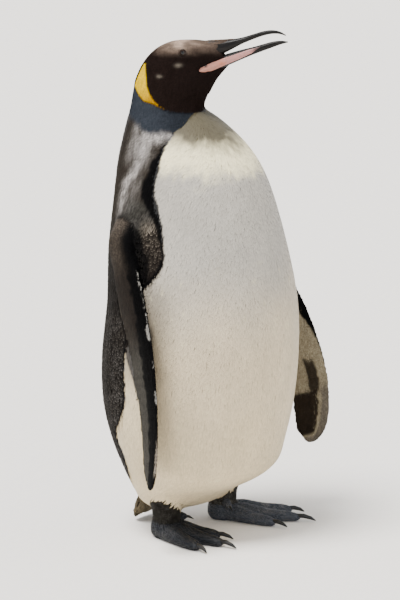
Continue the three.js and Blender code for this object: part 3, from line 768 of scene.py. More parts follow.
@dataclass(frozen=True)
class Paint:
    """Colours of the whole body, for the skin and for the root and tip of every feather."""

    neck_from: float = 640.0
    white_edge: Span = (-0.6, 0.8)
    flank_line: Curve = Curve((235, 248, 263, 278, 292, 307), (92, 94.4, 96.8, 99.6, 102.7, 105.5))
    flank_line_angles: Span = (83, 88)
    flank_line_heights: Window = ((236, 248), (340, 360))
    # painted light and shade: the left leg and foot are brightened and the right ones darkened
    leg_side_shading: Span = (1.9, 0.7)       # left, right
    foot_side_shading: Span = (1.7, 0.5)

    def colours(self, points: Array, normals: Array, parts: Array) -> tuple[Array, Array]:
        """Colour at the root and at the tip of feathers.

        Args:
            points: Rows of the row frame.
            normals: Outward directions.
            parts: Numbers of the parts they lie on.

        Returns:
            Two arrays of linear colours.
        """
        local = STANCE.local(points)
        coat = self.body(local)
        for part, line in FLIPPER_LINES.items():
            on = on_parts(parts, part)
            if on.any():
                flipper = FLIPPER.colours(STANCE.bird(points[on]), normals[on], line)
                coat.put(on, flipper.tip, flipper.base)
        coat.put(on_parts(parts, Part.TAIL), COLOUR.tail, COLOUR.tail * 0.35)
        on = on_parts(parts, Part.LEG)
        # painted light and shade: the left leg lighter, the right darker, with random mottling
        light = np.where(local[on, 0] > 0, *self.leg_side_shading) * (0.25 + 0.9 * lumps(local[on], 5, 99))
        coat.put(on, COLOUR.ash * light[:, None], COLOUR.umber)
        on = on_parts(parts, Part.FOOT, Part.CORE)
        # painted light and shade: the left foot lighter, the right darker
        hide = COLOUR.hide * np.where(local[on, 0] > 0, *self.foot_side_shading)[:, None]
        dust = COLOUR.dust * np.where(local[on, 0] > 0, *self.foot_side_shading)[:, None]
        dusty = ramp(lumps(local[on], 7, 97) * 0.6 + lumps(local[on], 20, 98) * 0.6, 0.6, 0.95)
        coat.put(on, mix(hide, dust, dusty * ramp(local[on, 2], 4, 20) * 0.35), hide * 0.6)
        return coat.base, coat.tip

    def body(self, local: Array) -> Plumage:
        """Colours of trunk, neck and head.

        Args:
            local: Side, forward and up of points.

        Returns:
            Root and tip colours.
        """
        up = local[:, 2]
        angle = MARKINGS.angle(local)
        ragged = uneven(local, 3, 3, 4) + uneven(local, 14, 5, 3)
        behind = MARKINGS.beyond_border(local) + ragged * np.where(up > self.neck_from, 0.35, 1.0)
        front, back = FRONT.colour(local), BACK.colours(local, angle, behind)
        coat = Plumage(front * 0.86, front)
        coat.lay(ramp(behind, *self.white_edge), back.tip, back.base)
        line = ramp(self.flank_line(up) - angle + ragged * 0.3, -0.4, 0.6) * ramp(angle, *self.flank_line_angles)
        coat.lay(line * window(up, *self.flank_line_heights), COLOUR.bark, COLOUR.umber)
        HEAD.lay_on(coat, local, angle, behind)
        return coat


PAINT = Paint()


# ---------------------------------------------------------------- finishes

@dataclass
class Nodes:
    """A new material: its node tree, its shader, and short ways to add the nodes that finishes share."""

    name: str
    made: Material = field(init=False)
    shader: bpy.types.ShaderNode = field(init=False)

    def __post_init__(self) -> None:
        """Makes the material with its principled shader."""
        self.made = bpy.data.materials.new(self.name)
        self.made.use_nodes = True
        self.shader = self.made.node_tree.nodes["Principled BSDF"]

    def set(self, node: bpy.types.ShaderNode, **inputs: object) -> None:
        """Sets or links a node's inputs.

        Args:
            node: The node.
            inputs: A value, or another node's output, for each input; _ stands for a space.
        """
        for name, value in inputs.items():
            socket = node.inputs[int(name[1:]) if name[1:].isdigit() else name.replace("_", " ")]
            if isinstance(value, Socket):
                self.made.node_tree.links.new(value, socket)
            else:
                socket.default_value = value

    def add(self, kind: str, output: str, options: dict[str, str], **inputs: object) -> Socket:
        """Adds a node.

        Args:
            kind: Its type.
            output: Name of the output that is wanted.
            options: Its settings.
            inputs: Values or links of its inputs.

        Returns:
            The output.
        """
        node = self.made.node_tree.nodes.new("ShaderNode" + kind)
        for name, value in options.items():
            setattr(node, name, value)
        self.set(node, **inputs)
        return node.outputs[output]

    def place(self) -> Socket:
        """Object coordinates."""
        return self.add("TexCoord", "Object", {})

    def plume(self) -> Socket:
        """The piece's own plume colours."""
        return self.add("Attribute", "Color", {"attribute_name": PLUME})

    def noise(self, scale: Triple, detail: float = 3.0) -> Socket:
        """Noise on Object coordinates, its scale given along x, y and z."""
        place = self.add("Mapping", "Vector", {}, Vector=self.place(), Scale=scale)
        return self.add("TexNoise", "Fac", {}, Vector=place, Scale=1.0, Detail=detail)

    def spread(self, value: Socket, to: Span, edges: Span = (0.3, 0.7)) -> Socket:
        """A value between two edges spread over another span."""
        return self.add("MapRange", "Result", {}, Value=value, From_Min=edges[0], From_Max=edges[1],
                        To_Min=to[0], To_Max=to[1])

    def scaled(self, colour: Socket, factor: Socket) -> Socket:
        """A colour made lighter or darker by a factor."""
        return self.add("VectorMath", "Vector", {"operation": "SCALE"}, _0=colour, Scale=factor)

    def bump(self, height: Socket, strength: float, distance: float = 0.0002) -> Socket:
        """Bump from a height."""
        return self.add("Bump", "Normal", {}, Height=height, Strength=strength, Distance=distance)

    def finished(self, colour: Socket, normal: Socket | None = None) -> Material:
        """The material, once its shader has its colour and its bumps."""
        self.set(self.shader, Base_Color=colour, **({"Normal": normal} if normal else {}))
        return self.made


@dataclass(frozen=True)
class Finish:
    """A material whose nodes are set up once and given to one or more pieces."""

    name: str
    roughness: float = 0.6
    specular: float = 0.4
    sheen: float = 0.0
    gloss_coat: float = 0.0
    coat_roughness: float = 0.08

    def begin(self) -> Nodes:
        """A new material with this finish's gloss."""
        nodes = Nodes(self.name)
        nodes.set(nodes.shader, Roughness=self.roughness, Specular_IOR_Level=self.specular, Sheen_Weight=self.sheen,
                  Coat_Weight=self.gloss_coat, Coat_Roughness=self.coat_roughness)
        return nodes


@dataclass(frozen=True)
class FeatherFinish(Finish):
    """Feathers in the colours of their own attribute, with barbs across each vane."""

    mottle: Span = (0.9, 1.08)
    grain: Triple = (260.0, 260.0, 90.0)
    clouds: Triple = (22.0, 22.0, 14.0)
    cloud_shade: Span = (0.94, 1.05)
    barbs: float = 0.25
    barb_scale: float = 26.0 / 6.0

    def make(self) -> Material:
        """Sets up the nodes.

        Returns:
            The material.
        """
        nodes = self.begin()
        grain = nodes.spread(nodes.noise(self.grain), self.mottle)
        shade = nodes.spread(nodes.noise(self.clouds, 2.0), self.cloud_shade)
        vane = nodes.add("UVMap", "UV", {"uv_map": VANE_MAP})
        barbs = nodes.add("TexWave", "Fac", {"wave_type": "BANDS", "bands_direction": "DIAGONAL"},
                          Vector=vane, Scale=self.barb_scale, Distortion=1.5)
        return nodes.finished(nodes.scaled(nodes.scaled(nodes.plume(), grain), shade), nodes.bump(barbs, self.barbs))


@dataclass(frozen=True)
class SkinFinish(Finish):
    """Skin under the coat, and the leathery skin of the feet, in the colours of its attribute."""

    grain: Triple = (320.0, 320.0, 320.0)
    cells: float = 420.0
    crease: Span = (0.0, 0.12)

    def make(self) -> Material:
        """Sets up the nodes.

        Returns:
            The material.
        """
        nodes = self.begin()
        grain = nodes.spread(nodes.noise(self.grain, 4.0), (0.75, 1.25))
        cells = nodes.add("TexVoronoi", "Distance", {"feature": "DISTANCE_TO_EDGE"}, Vector=nodes.place(),
                          Scale=self.cells)
        creases = nodes.spread(cells, (0.0, 1.0), self.crease)
        return nodes.finished(nodes.scaled(nodes.plume(), grain), nodes.bump(creases, 0.5, 0.0004))


@dataclass(frozen=True)
class HornFinish(Finish):
    """Horn of the bill and claws: streaks of two colours run along it, with fine scratches."""

    dark: str = "0d0b0a"
    pale: str = "201b19"
    streaks: Triple = (40.0, 40.0, 420.0)
    streak_edges: Span = (0.5, 0.8)
    scratches: Triple = (900.0, 900.0, 2500.0)

    def make(self) -> Material:
        """Sets up the nodes.

        Returns:
            The material.
        """
        nodes = self.begin()
        streak = nodes.spread(nodes.noise(self.streaks, 4.0), (0.0, 1.0), self.streak_edges)
        colour = nodes.add("Mix", "Result", {"data_type": "RGBA"}, Factor=streak, A=(*linear(self.dark), 1),
                           B=(*linear(self.pale), 1))
        return nodes.finished(colour, nodes.bump(nodes.noise(self.scratches), 0.35))


@dataclass(frozen=True)
class PlateFinish(Finish):
    """The side plates of the lower bill: waxy, in the colours of their attribute."""

    grain: Triple = (240.0, 240.0, 420.0)
    scratches: Triple = (700.0, 700.0, 1500.0)
    depth: float = 0.12
    glow: Triple = (0.004, 0.0015, 0.001)

    def make(self) -> Material:
        """Sets up the nodes.

        Returns:
            The material.
        """
        nodes = self.begin()
        grain = nodes.spread(nodes.noise(self.grain, 4.0), (0.86, 1.1))
        nodes.set(nodes.shader, Subsurface_Weight=self.depth, Subsurface_Radius=self.glow)
        return nodes.finished(nodes.scaled(nodes.plume(), grain), nodes.bump(nodes.noise(self.scratches), 0.25))


@dataclass(frozen=True)
class PlainFinish(Finish):
    """One colour, broken by faint grain."""

    colour: str = "808080"
    depth: float = 0.06
    grain_scale: float = 500.0

    def make(self) -> Material:
        """Sets up the nodes.

        Returns:
            The material.
        """
        nodes = self.begin()
        base = nodes.add("RGB", "Color", {})
        base.default_value = (*linear(self.colour), 1)
        grain = nodes.spread(nodes.noise((self.grain_scale,) * 3), (1 - self.depth, 1 + self.depth))
        return nodes.finished(nodes.scaled(base, grain))


# ---------------------------------------------------------------- shape helpers

def link_piece(name: str, data: bpy.types.ID | None) -> Piece:
    """A new object in the scene."""
    piece = bpy.data.objects.new(name, data)
    bpy.context.scene.collection.objects.link(piece)
    return piece


def merged_copy(nodes: list[str], grow: float = 0.0) -> tuple[Form, list[int]]:
    """Copies of solid nodes in one bmesh.

    Args:
        nodes: Names of the nodes.
        grow: How far each is fattened along its normals, in metres.

    Returns:
        The bmesh, and the number of faces after each node.
    """
    whole = bmesh.new()
    ends = []
    for name in nodes:
        single = bmesh.new()
        single.from_mesh(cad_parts[name].data)
        bmesh.ops.remove_doubles(single, verts=single.verts, dist=1e-5)
        single.normal_update()
        for vertex in single.verts:
            vertex.co += vertex.normal * grow
        add_mesh(whole, mesh_of(single, "copy"))
        ends.append(len(whole.faces))
    return whole, ends


def mesh_of(form: Form, name: str) -> Mesh:
    """A bmesh as a mesh; the bmesh is freed."""
    mesh = bpy.data.meshes.new(name)
    form.to_mesh(mesh)
    form.free()
    return mesh


def add_mesh(form: Form, mesh: Mesh) -> None:
    """Adds a mesh to a bmesh; the mesh is removed."""
    form.from_mesh(mesh)
    bpy.data.meshes.remove(mesh)


def modified(piece: Piece, kind: str, **settings: object) -> None:
    """Gives a piece a modifier with some settings."""
    modifier = piece.modifiers.new(kind.lower(), kind)
    for name, value in settings.items():
        setattr(modifier, name, value)


def applied(piece: Piece, name: str) -> Mesh:
    """The mesh that a piece's modifiers make.

    Args:
        piece: The piece; it is removed.
        name: Name of the new mesh.

    Returns:
        The new mesh, shaded smooth.
    """
    graph = bpy.context.evaluated_depsgraph_get()
    mesh = bpy.data.meshes.new_from_object(piece.evaluated_get(graph))
    mesh.name = name
    source = piece.data
    bpy.data.objects.remove(piece)
    bpy.data.meshes.remove(source)
    shaded_smooth(mesh)
    return mesh


def remeshed(form: Form, voxel: float, passes: int, name: str) -> Mesh:
    """One closed mesh round everything in a bmesh.

    Args:
        form: Overlapping closed shapes; it is freed.
        voxel: Size of the new faces.
        passes: Smoothing passes.
        name: Name of the new mesh.

    Returns:
        The new mesh.
    """
    piece = link_piece(name, mesh_of(form, name + "_source"))
    modified(piece, "REMESH", mode="VOXEL", voxel_size=voxel)
    if passes:
        modified(piece, "SMOOTH", factor=0.5, iterations=passes)
    return applied(piece, name)


def rows_of(source: bpy.types.bpy_prop_collection, key: str, width: int, kind: type = np.float32) -> Array:
    """Numbers of vertices, edges or triangles, one row for each."""
    rows = np.empty(len(source) * width, kind)
    source.foreach_get(key, rows)
    return rows.reshape(-1, width)


def points_of(mesh: Mesh) -> Array:
    """Rows of a mesh's vertex places."""
    return rows_of(mesh.vertices, "co", 3).astype(float)


def normals_of(mesh: Mesh) -> Array:
    """Rows of a mesh's vertex normals."""
    return rows_of(mesh.vertex_normals, "vector", 3).astype(float)


def edges_of(mesh: Mesh) -> Array:
    """Pairs of vertex numbers."""
    return rows_of(mesh.edges, "vertices", 2, np.int32)


def set_points(mesh: Mesh, rows: Array) -> None:
    """Moves a mesh's vertices to new places."""
    mesh.vertices.foreach_set("co", rows.astype(np.float32).ravel())
    mesh.update()


def finder_of(rows: Array) -> KDTree:
    """A finder of the nearest of some points.

    Args:
        rows: The points.

    Returns:
        The finder.
    """
    finder = KDTree(len(rows))
    for number, row in enumerate(rows.tolist()):
        finder.insert(row, number)
    finder.balance()
    return finder


def averaged(values: Array, edges: Array, passes: int) -> Array:
    """Draws values at vertices towards their neighbours' mean.

    Args:
        values: One value for each vertex.
        edges: Pairs of vertex numbers.
        passes: How many times.

    Returns:
        The new values.
    """
    count = np.bincount(edges.ravel(), minlength=len(values))
    for _ in range(passes):
        total = np.bincount(edges[:, 0], values[edges[:, 1]], len(values))
        total += np.bincount(edges[:, 1], values[edges[:, 0]], len(values))
        values = 0.5 * values + 0.5 * total / np.maximum(count, 1)
    return values


def set_colours(mesh: Mesh, rows: Array) -> None:
    """Gives vertices their plume colours.

    Args:
        mesh: The mesh.
        rows: A linear colour for each vertex.
    """
    attribute = mesh.color_attributes.new(PLUME, "FLOAT_COLOR", "POINT")
    full = np.ones((len(rows), 4), np.float32)
    full[:, :3] = rows
    attribute.data.foreach_set("color", full.ravel())


def shaded_smooth(mesh: Mesh) -> None:
    """Smooth shading on every face."""
    mesh.polygons.foreach_set("use_smooth", np.ones(len(mesh.polygons), bool))


def finish_piece(piece: Piece, finishes: list[Material],
                 replaced: tuple[str, ...] = ()) -> None:
    """Dresses a piece and fixes it to the bird.

    Args:
        piece: The new piece.
        finishes: Its materials.
        replaced: Solid nodes that it stands for.
    """
    for made in finishes:
        piece.data.materials.append(made)
    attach(piece, "root")
    if replaced:
        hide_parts(*replaced)
    LOG.info("%s: %d faces", piece.name, len(piece.data.polygons))


# ---------------------------------------------------------------- skin

@dataclass(frozen=True)
class BillLine:
    """Height and half width of one half of the bill along its length, in millimetres."""

    stations: tuple[tuple[float, float, float, float], ...]     # forward, top, bottom, half width
    feathered: Triple = (-6.0, 54.0, 1.5)   # start, reach and power of the feathers' edge

    def rows(self) -> tuple[Array, list[Array]]:
        """Places along the bill, and middle height, half height and half width at them."""
        where, top, bottom, half = np.array(self.stations).T
        return where, [(top + bottom) / 2, (top - bottom) / 2, half]

    def straight(self, forward: Array) -> list[Array]:
        """Middle height, half height and half width at places along the bill."""
        where, rows = self.rows()
        return [np.interp(forward, where, row) for row in rows]

    def curved(self, forward: Array) -> list[Array]:
        """The same three along smooth curves through the stations.

        Args:
            forward: Places along the bill.

        Returns:
            Middle height, half height and half width.
        """
        where, rows = self.rows()
        index = np.clip(np.searchsorted(where, forward) - 1, 0, len(where) - 2)
        step = where[index + 1] - where[index]
        share = np.clip((forward - where[index]) / step, 0, 1)
        square, cube = share ** 2, share ** 3
        found = []
        for row in rows:
            slope = np.gradient(row, where)
            start, end = slope[index] * step, slope[index + 1] * step
            found.append((2 * cube - 3 * square + 1) * row[index] + (3 * square - 2 * cube) * row[index + 1]
                         + (cube - 2 * square + share) * start + (cube - square) * end)
        return found

    def bend(self, points: Array) -> Array:
        """Moves points of the straight-sided half onto its smooth curves.

        Args:
            points: Rows of the row frame.

        Returns:
            The new rows.
        """
        local = STANCE.local(points)
        straight, curve = self.straight(local[:, 1]), self.curved(local[:, 1])
        rise = curve[0] - straight[0] + (local[:, 2] - straight[0]) * (curve[1] / straight[1] - 1)
        across = local[:, 0] * (curve[2] / straight[2] - 1)
        return points + STANCE.world_direction(np.stack([across, 0 * across, rise], 1), local[:, 2]) * MM

    def under_feathers(self, points: Array) -> Array:
        """How far points of the upper half lie behind the edge of the forehead's feathers.

        Args:
            points: Rows of the row frame.

        Returns:
            Millimetres, less than 0 before the edge.
        """
        local = STANCE.local(points)
        middle, high, _ = self.straight(local[:, 1])
        rise = np.clip(((local[:, 2] - middle) / high + 1) / 2, 0, 1)
        start, reach, power = self.feathered
        return start + reach * rise ** power - local[:, 1]


UPPER_LINE = BillLine(((-18, 762, 738, 15), (0, 770, 739, 14), (20, 771.5, 747.5, 11.2), (38, 773, 757, 8.8),
                       (55, 776.5, 766.5, 7), (72, 782, 774, 5.6), (88, 787, 780, 4.8), (102, 788.5, 783, 4),
                       (114, 786, 782.5, 2.9), (122, 781.5, 780, 1.2)))
LOWER_LINE = BillLine(((-22, 732, 720, 22.5), (-9, 733.5, 718, 23.5), (4, 740, 720, 19.5), (21, 746.6, 727, 14.4),
                       (38, 752.4, 734.5, 11), (55, 757.4, 742.5, 8.6), (72, 762, 750, 6.9), (88, 767, 756.5, 5.6),
                       (102, 771, 762, 4.4), (115, 772.5, 767, 3), (125, 771.5, 770, 1.1)))


@dataclass(frozen=True)
class EyePlace:
    """Place and size of one eye, in millimetres."""

    side: int
    out: float = 19.5
    forward: float = -34.5
    up: float = 755.0
    radius: float = 9.0
    half_long: float = 5.9
    half_high: float = 5.2

    def centre(self) -> Array:
        """Middle of the eyeball in the row frame."""
        return np.array(STANCE.on_head(self.side * self.out, self.forward, self.up))

    def outward(self) -> Array:
        """Direction of the gaze."""
        angle = math.radians(STANCE.head_turn)
        return self.side * np.array([math.cos(angle), math.sin(angle), 0.0])

    def opening(self, points: Array) -> tuple[Array, Array]:
        """Where points lie against the lid's opening.

        Args:
            points: Rows of the row frame.

        Returns:
            Share of the opening, 1 at its rim, and how far out they are in millimetres.
        """
        angle = math.radians(STANCE.head_turn)
        ahead = np.array([math.sin(angle), -math.cos(angle), 0.0])
        away = (points - self.centre()) / MM
        share = np.hypot(away @ ahead / self.half_long, away[:, 2] / self.half_high)
        return share, away @ self.outward()


EYES = {"right": EyePlace(-1), "left": EyePlace(1)}


@dataclass
class Skin:
    """The skin of the whole bird, with lids round the eyes and knuckled feet."""

    voxel: float = 0.0017
    fatten: float = 0.0004
    shoulder_share: float = 0.13
    passes: dict[str, int] = field(default_factory=lambda: {"trunk": 240, "head": 26, "limb": 10})
    depths: dict[Part, float] = field(default_factory=lambda: {
        Part.TRUNK: 1.8, Part.NECK: 1.5, Part.HEAD: 1.0, Part.FLIPPER_RIGHT: 0.8, Part.FLIPPER_LEFT: 0.8,
        Part.LEG: 1.6, Part.FOOT: 0.3, Part.TAIL: 2.0, Part.CORE: 0.2})
    face_rise: float = 0.5
    core_depth: float = 0.0009
    root_cover: float = 0.0014
    bill_from: float = 0.6
    limit: int = 163400            # triangles after thinning
    weight_steps: int = 20
    lid_reach: float = 2.1
    lid_clear: float = 0.05
    mesh: Mesh = field(init=False)
    parts: Array = field(init=False)
    finder: KDTree = field(init=False)

    def build(self) -> None:
        """Makes the smooth skin, at full detail, and finds the part under each vertex."""
        form, ends = merged_copy([*SKIN_NODES, *(f"eye_{side}" for side in SIDES)], self.fatten)
        hidden, _ = merged_copy(BILL_NODES[1:] + CLAW_NODES, -self.core_depth)
        for core in (mesh_of(hidden, "core"), self.bill_root()):
            add_mesh(form, core)
        form.faces.ensure_lookup_table()
        tree = BVHTree.FromBMesh(form)
        owners = [part.value for part in SKIN_NODES.values()] + [Part.HEAD.value] * len(SIDES)
        middles = np.array([face.calc_center_median() for face in form.faces])
        feathered = (UPPER_LINE.under_feathers(middles) > 0) & (middles[:, 2] > self.bill_from)
        faces = np.where(feathered, Part.HEAD.value, Part.CORE.value)
        for start, end, owner in zip([0, *ends], ends, owners):
            faces[start:end] = owner
        self.mesh = remeshed(form, self.voxel, 0, "skin")
        rows = points_of(self.mesh)
        self.parts = faces[[tree.find_nearest(row)[2] for row in rows.tolist()]]
        LOG.info("skin remeshed: %d vertices", len(rows))
        self.smooth()
        self.sink()
        self.finder = finder_of(points_of(self.mesh))

    def bill_root(self) -> Mesh:
        """The upper half of the bill, fattened where the forehead's feathers cover it and thinned elsewhere.

        Returns:
            Its mesh.
        """
        form, _ = merged_copy(["bill_upper"])
        for length in (0.008, 0.004, 0.002):
            long_edges = [edge for edge in form.edges if edge.calc_length() > length]
            bmesh.ops.subdivide_edges(form, edges=long_edges, cuts=1)
            bmesh.ops.triangulate(form, faces=form.faces)
        form.normal_update()
        under = UPPER_LINE.under_feathers(np.array([vertex.co for vertex in form.verts]))
        for vertex, share in zip(form.verts, ramp(under, -1.0, 3.0)):
            vertex.co += vertex.normal * (self.root_cover * share - self.core_depth * (1 - share))
        return mesh_of(form, "bill_root")

    def smooth(self) -> None:
        """Smooths each part by its own amount."""
        groups = {"trunk": (Part.TRUNK, Part.NECK), "head": (Part.HEAD, Part.TAIL, Part.LEG),
                  "limb": (Part.FLIPPER_RIGHT, Part.FLIPPER_LEFT, Part.FOOT, Part.CORE)}
        edges = edges_of(self.mesh)
        shoulders = np.zeros(len(self.parts), bool)
        places = STANCE.bird(points_of(self.mesh))
        for part, line in FLIPPER_LINES.items():
            shoulders |= on_parts(self.parts, part) & (line.read(places)[0] < self.shoulder_share)
        piece = link_piece("skin_smoothing", self.mesh)
        for name, members in groups.items():
            weight = np.where(shoulders, name == "trunk", on_parts(self.parts, *members)).astype(float)
            weight = averaged(weight, edges, 12)
            steps = np.round(np.where(weight < 0.02, 0, weight) * self.weight_steps).astype(int)
            group = piece.vertex_groups.new(name=name)
            for step in range(1, self.weight_steps + 1):
                group.add(np.flatnonzero(steps == step).tolist(), step / self.weight_steps, "REPLACE")
            modified(piece, "SMOOTH", factor=0.5, iterations=self.passes[name], vertex_group=name)
        self.mesh = applied(piece, "skin")

    def sink(self) -> None:
        """Lets the skin down below the solids' surface by the coat's depth."""
        depth = np.zeros(len(self.parts))
        for part, value in self.depths.items():
            depth[on_parts(self.parts, part)] = value + self.fatten / MM
        depth = averaged(depth, edges_of(self.mesh), 10)
        rows = points_of(self.mesh)
        depth -= self.face_rise * on_parts(self.parts, Part.HEAD) * ramp(STANCE.local(rows)[:, 1], -50, 5)
        rows -= normals_of(self.mesh) * (depth * MM)[:, None]
        rows[:, 2] = np.maximum(rows[:, 2], 0.0)
        set_points(self.mesh, rows)

    def finish(self) -> None:
        """Makes the skin a piece: fewer faces under the coat, lids shaped, coloured."""
        piece = link_piece("skin", self.mesh)
        group = piece.vertex_groups.new(name="coated")
        group.add(np.flatnonzero(~on_parts(self.parts, Part.HEAD, Part.FOOT)).tolist(), 1.0, "REPLACE")
        ratio = min(1.0, self.limit / (2 * len(self.mesh.polygons)))
        modified(piece, "DECIMATE", ratio=ratio, vertex_group="coated")
        mesh = applied(piece, "skin")
        self.refine_lids(mesh)
        self.shape_lids(mesh)
        rows = points_of(mesh)
        parts = self.parts[[self.finder.find(row)[1] for row in rows.tolist()]]
        base, tip = PAINT.colours(rows, normals_of(mesh), parts)
        set_colours(mesh, 0.6 * base + 0.4 * tip)
        shaded_smooth(mesh)
        finish = SkinFinish("bare_skin", roughness=0.6, specular=0.03)
        finish_piece(link_piece("skin", mesh), [finish.make()], tuple(SKIN_NODES))

    def refine_lids(self, mesh: Mesh) -> None:
        """Gives the skin round the eyes finer faces.

        Args:
            mesh: The skin.
        """
        form = bmesh.new()
        form.from_mesh(mesh)
        for _ in range(2):
            near = []
            for edge in form.edges:
                middle = np.array((edge.verts[0].co + edge.verts[1].co) / 2)
                for eye in EYES.values():
                    share, out = eye.opening(middle[None])
                    if share[0] < self.lid_reach and out[0] > 0:
                        near.append(edge)
            bmesh.ops.subdivide_edges(form, edges=near, cuts=1, use_grid_fill=True)
        bmesh.ops.triangulate(form, faces=[face for face in form.faces if len(face.verts) > 4])
        form.to_mesh(mesh)
        form.free()

    def shape_lids(self, mesh: Mesh) -> None:
        """Opens the lids over each eye, with a rounded rim just clear of the eyeball.

        Args:
            mesh: The skin.
        """
        rows = points_of(mesh)
        for eye in EYES.values():
            share, out = eye.opening(rows)
            centre = eye.centre()
            away = (rows - centre) / MM
            reach = np.linalg.norm(away, axis=1)
            near = (share < self.lid_reach) & (out > 0) & (reach < 20)
            rim = 0.95 * hump(share, 1.12, 0.16) + 0.35 * hump(share, 1.55, 0.14)
            floor = eye.radius - 0.8
            body = np.maximum(reach, eye.radius + 0.1) + rim
            lid = np.maximum(eye.radius + rim + self.lid_clear, np.where(share < 1.3, eye.radius + rim, body))
            target = np.where(share < 1.0, floor + (lid - floor) * ramp(share, 0.88, 1.0), lid)
            length = reach + (target - reach) * ramp(self.lid_reach - share, 0, 0.5)
            rows[near] = centre + unit(away[near]) * (length[near] * MM)[:, None]
        set_points(mesh, rows)


# ---------------------------------------------------------------- coat

@dataclass(frozen=True)
class VaneShape:
    """Outline of one feather or scale, in shares of its length and width, and how its tip colour comes in."""

    stations: tuple[float, ...] = (0.45, 0.84)
    widths: tuple[float, ...] = (1.0, 0.82)
    lifts: tuple[float, ...] = (-0.1, 0.4, 0.86, 1.0)
    tints: tuple[float, ...] = (0.35, 0.95)
    camber: float = 0.07
    tilt: float = 0.18
    lift_jitter: float = 0.05

    def faces(self) -> list[list[int]]:
        """Faces of one closed vane, numbered from root by left, middle and right at each station to tip.

        Returns:
            Vertex numbers of each face.
        """
        count = len(self.stations)
        left, middle, right = ([1 + 3 * i + k for i in range(count)] for k in range(3))
        tip = 3 * count + 1
        sides = ((left, middle), (middle, right), (right, left))
        made = [[0, first[0], second[0]] for first, second in sides]
        for i in range(count - 1):
            for first, second in sides:
                made.append([first[i], first[i + 1], second[i + 1], second[i]])
        return made + [[first[-1], tip, second[-1]] for first, second in sides]

    def outline(self) -> Array:
        """Places across and along the vane of its corners, from 0 to 1."""
        edge = [[0.5 + 0.5 * place * width, share] for share, width in zip(self.stations, self.widths)
                for place in (-1, 0, 1)]
        return np.array([[0.5, 0.0], *edge, [0.5, 1.0]])


FLAT_VANE = VaneShape(widths=(1.0, 0.72), lifts=(-0.1, 0.6, 0.92, 0.9), camber=0.05, tilt=0.12, lift_jitter=0.035)
HAIRY_VANE = VaneShape(widths=(1.0, 0.6), camber=0.12, tilt=0.3, tints=(0.2, 0.8), lift_jitter=0.12)
SCALE_VANE = VaneShape(stations=(0.45, 0.88), widths=(1.0, 0.86), camber=0.1, tilt=0.3, tints=(0.0, 0.12),
                       lift_jitter=0.08)
SCUTE = VaneShape(stations=(0.2, 0.75), widths=(0.95, 0.95), lifts=(0.0, 0.6, 0.7, 0.1), tints=(0.6, 1.0),
                  camber=0.12, tilt=0.4, lift_jitter=0.1)
QUILL = VaneShape(stations=(0.2, 0.5, 0.8, 0.94), widths=(0.8, 1.0, 0.95, 0.6),
                  lifts=(-0.1, 0.3, 0.6, 0.9, 0.95, 1.0), tints=(0.2, 0.5, 0.8, 1.0), camber=0.12, tilt=0.35)


class Zone(Enum):
    """Kinds of plumage, each with the spacing, length, width and depth of its feathers in millimetres."""

    FRONT = (1.9, 13.0, 3.2, 1.3)
    MANTLE = (2.0, 12.0, 2.8, 1.8)
    FLANK = (3.5, 12.5, 5.0, 1.9)
    NECK = (1.8, 7.5, 2.5, 1.3)
    HEAD = (1.5, 6.0, 2.0, 0.9)
    FLIPPER = (1.8, 5.2, 2.2, 0.7)
    LEG = (2.0, 4.6, 2.4, 0.9)
    FOOT = (2.2, 3.0, 2.8, 0.45)
    TAIL = (2.8, 15.0, 4.2, 2.0)


KINDS = list(Zone)
PART_ZONES = {Part.NECK: Zone.NECK, Part.HEAD: Zone.HEAD, Part.FLIPPER_RIGHT: Zone.FLIPPER,
              Part.FLIPPER_LEFT: Zone.FLIPPER, Part.LEG: Zone.LEG, Part.FOOT: Zone.FOOT, Part.TAIL: Zone.TAIL,
              Part.CORE: Zone.FOOT}


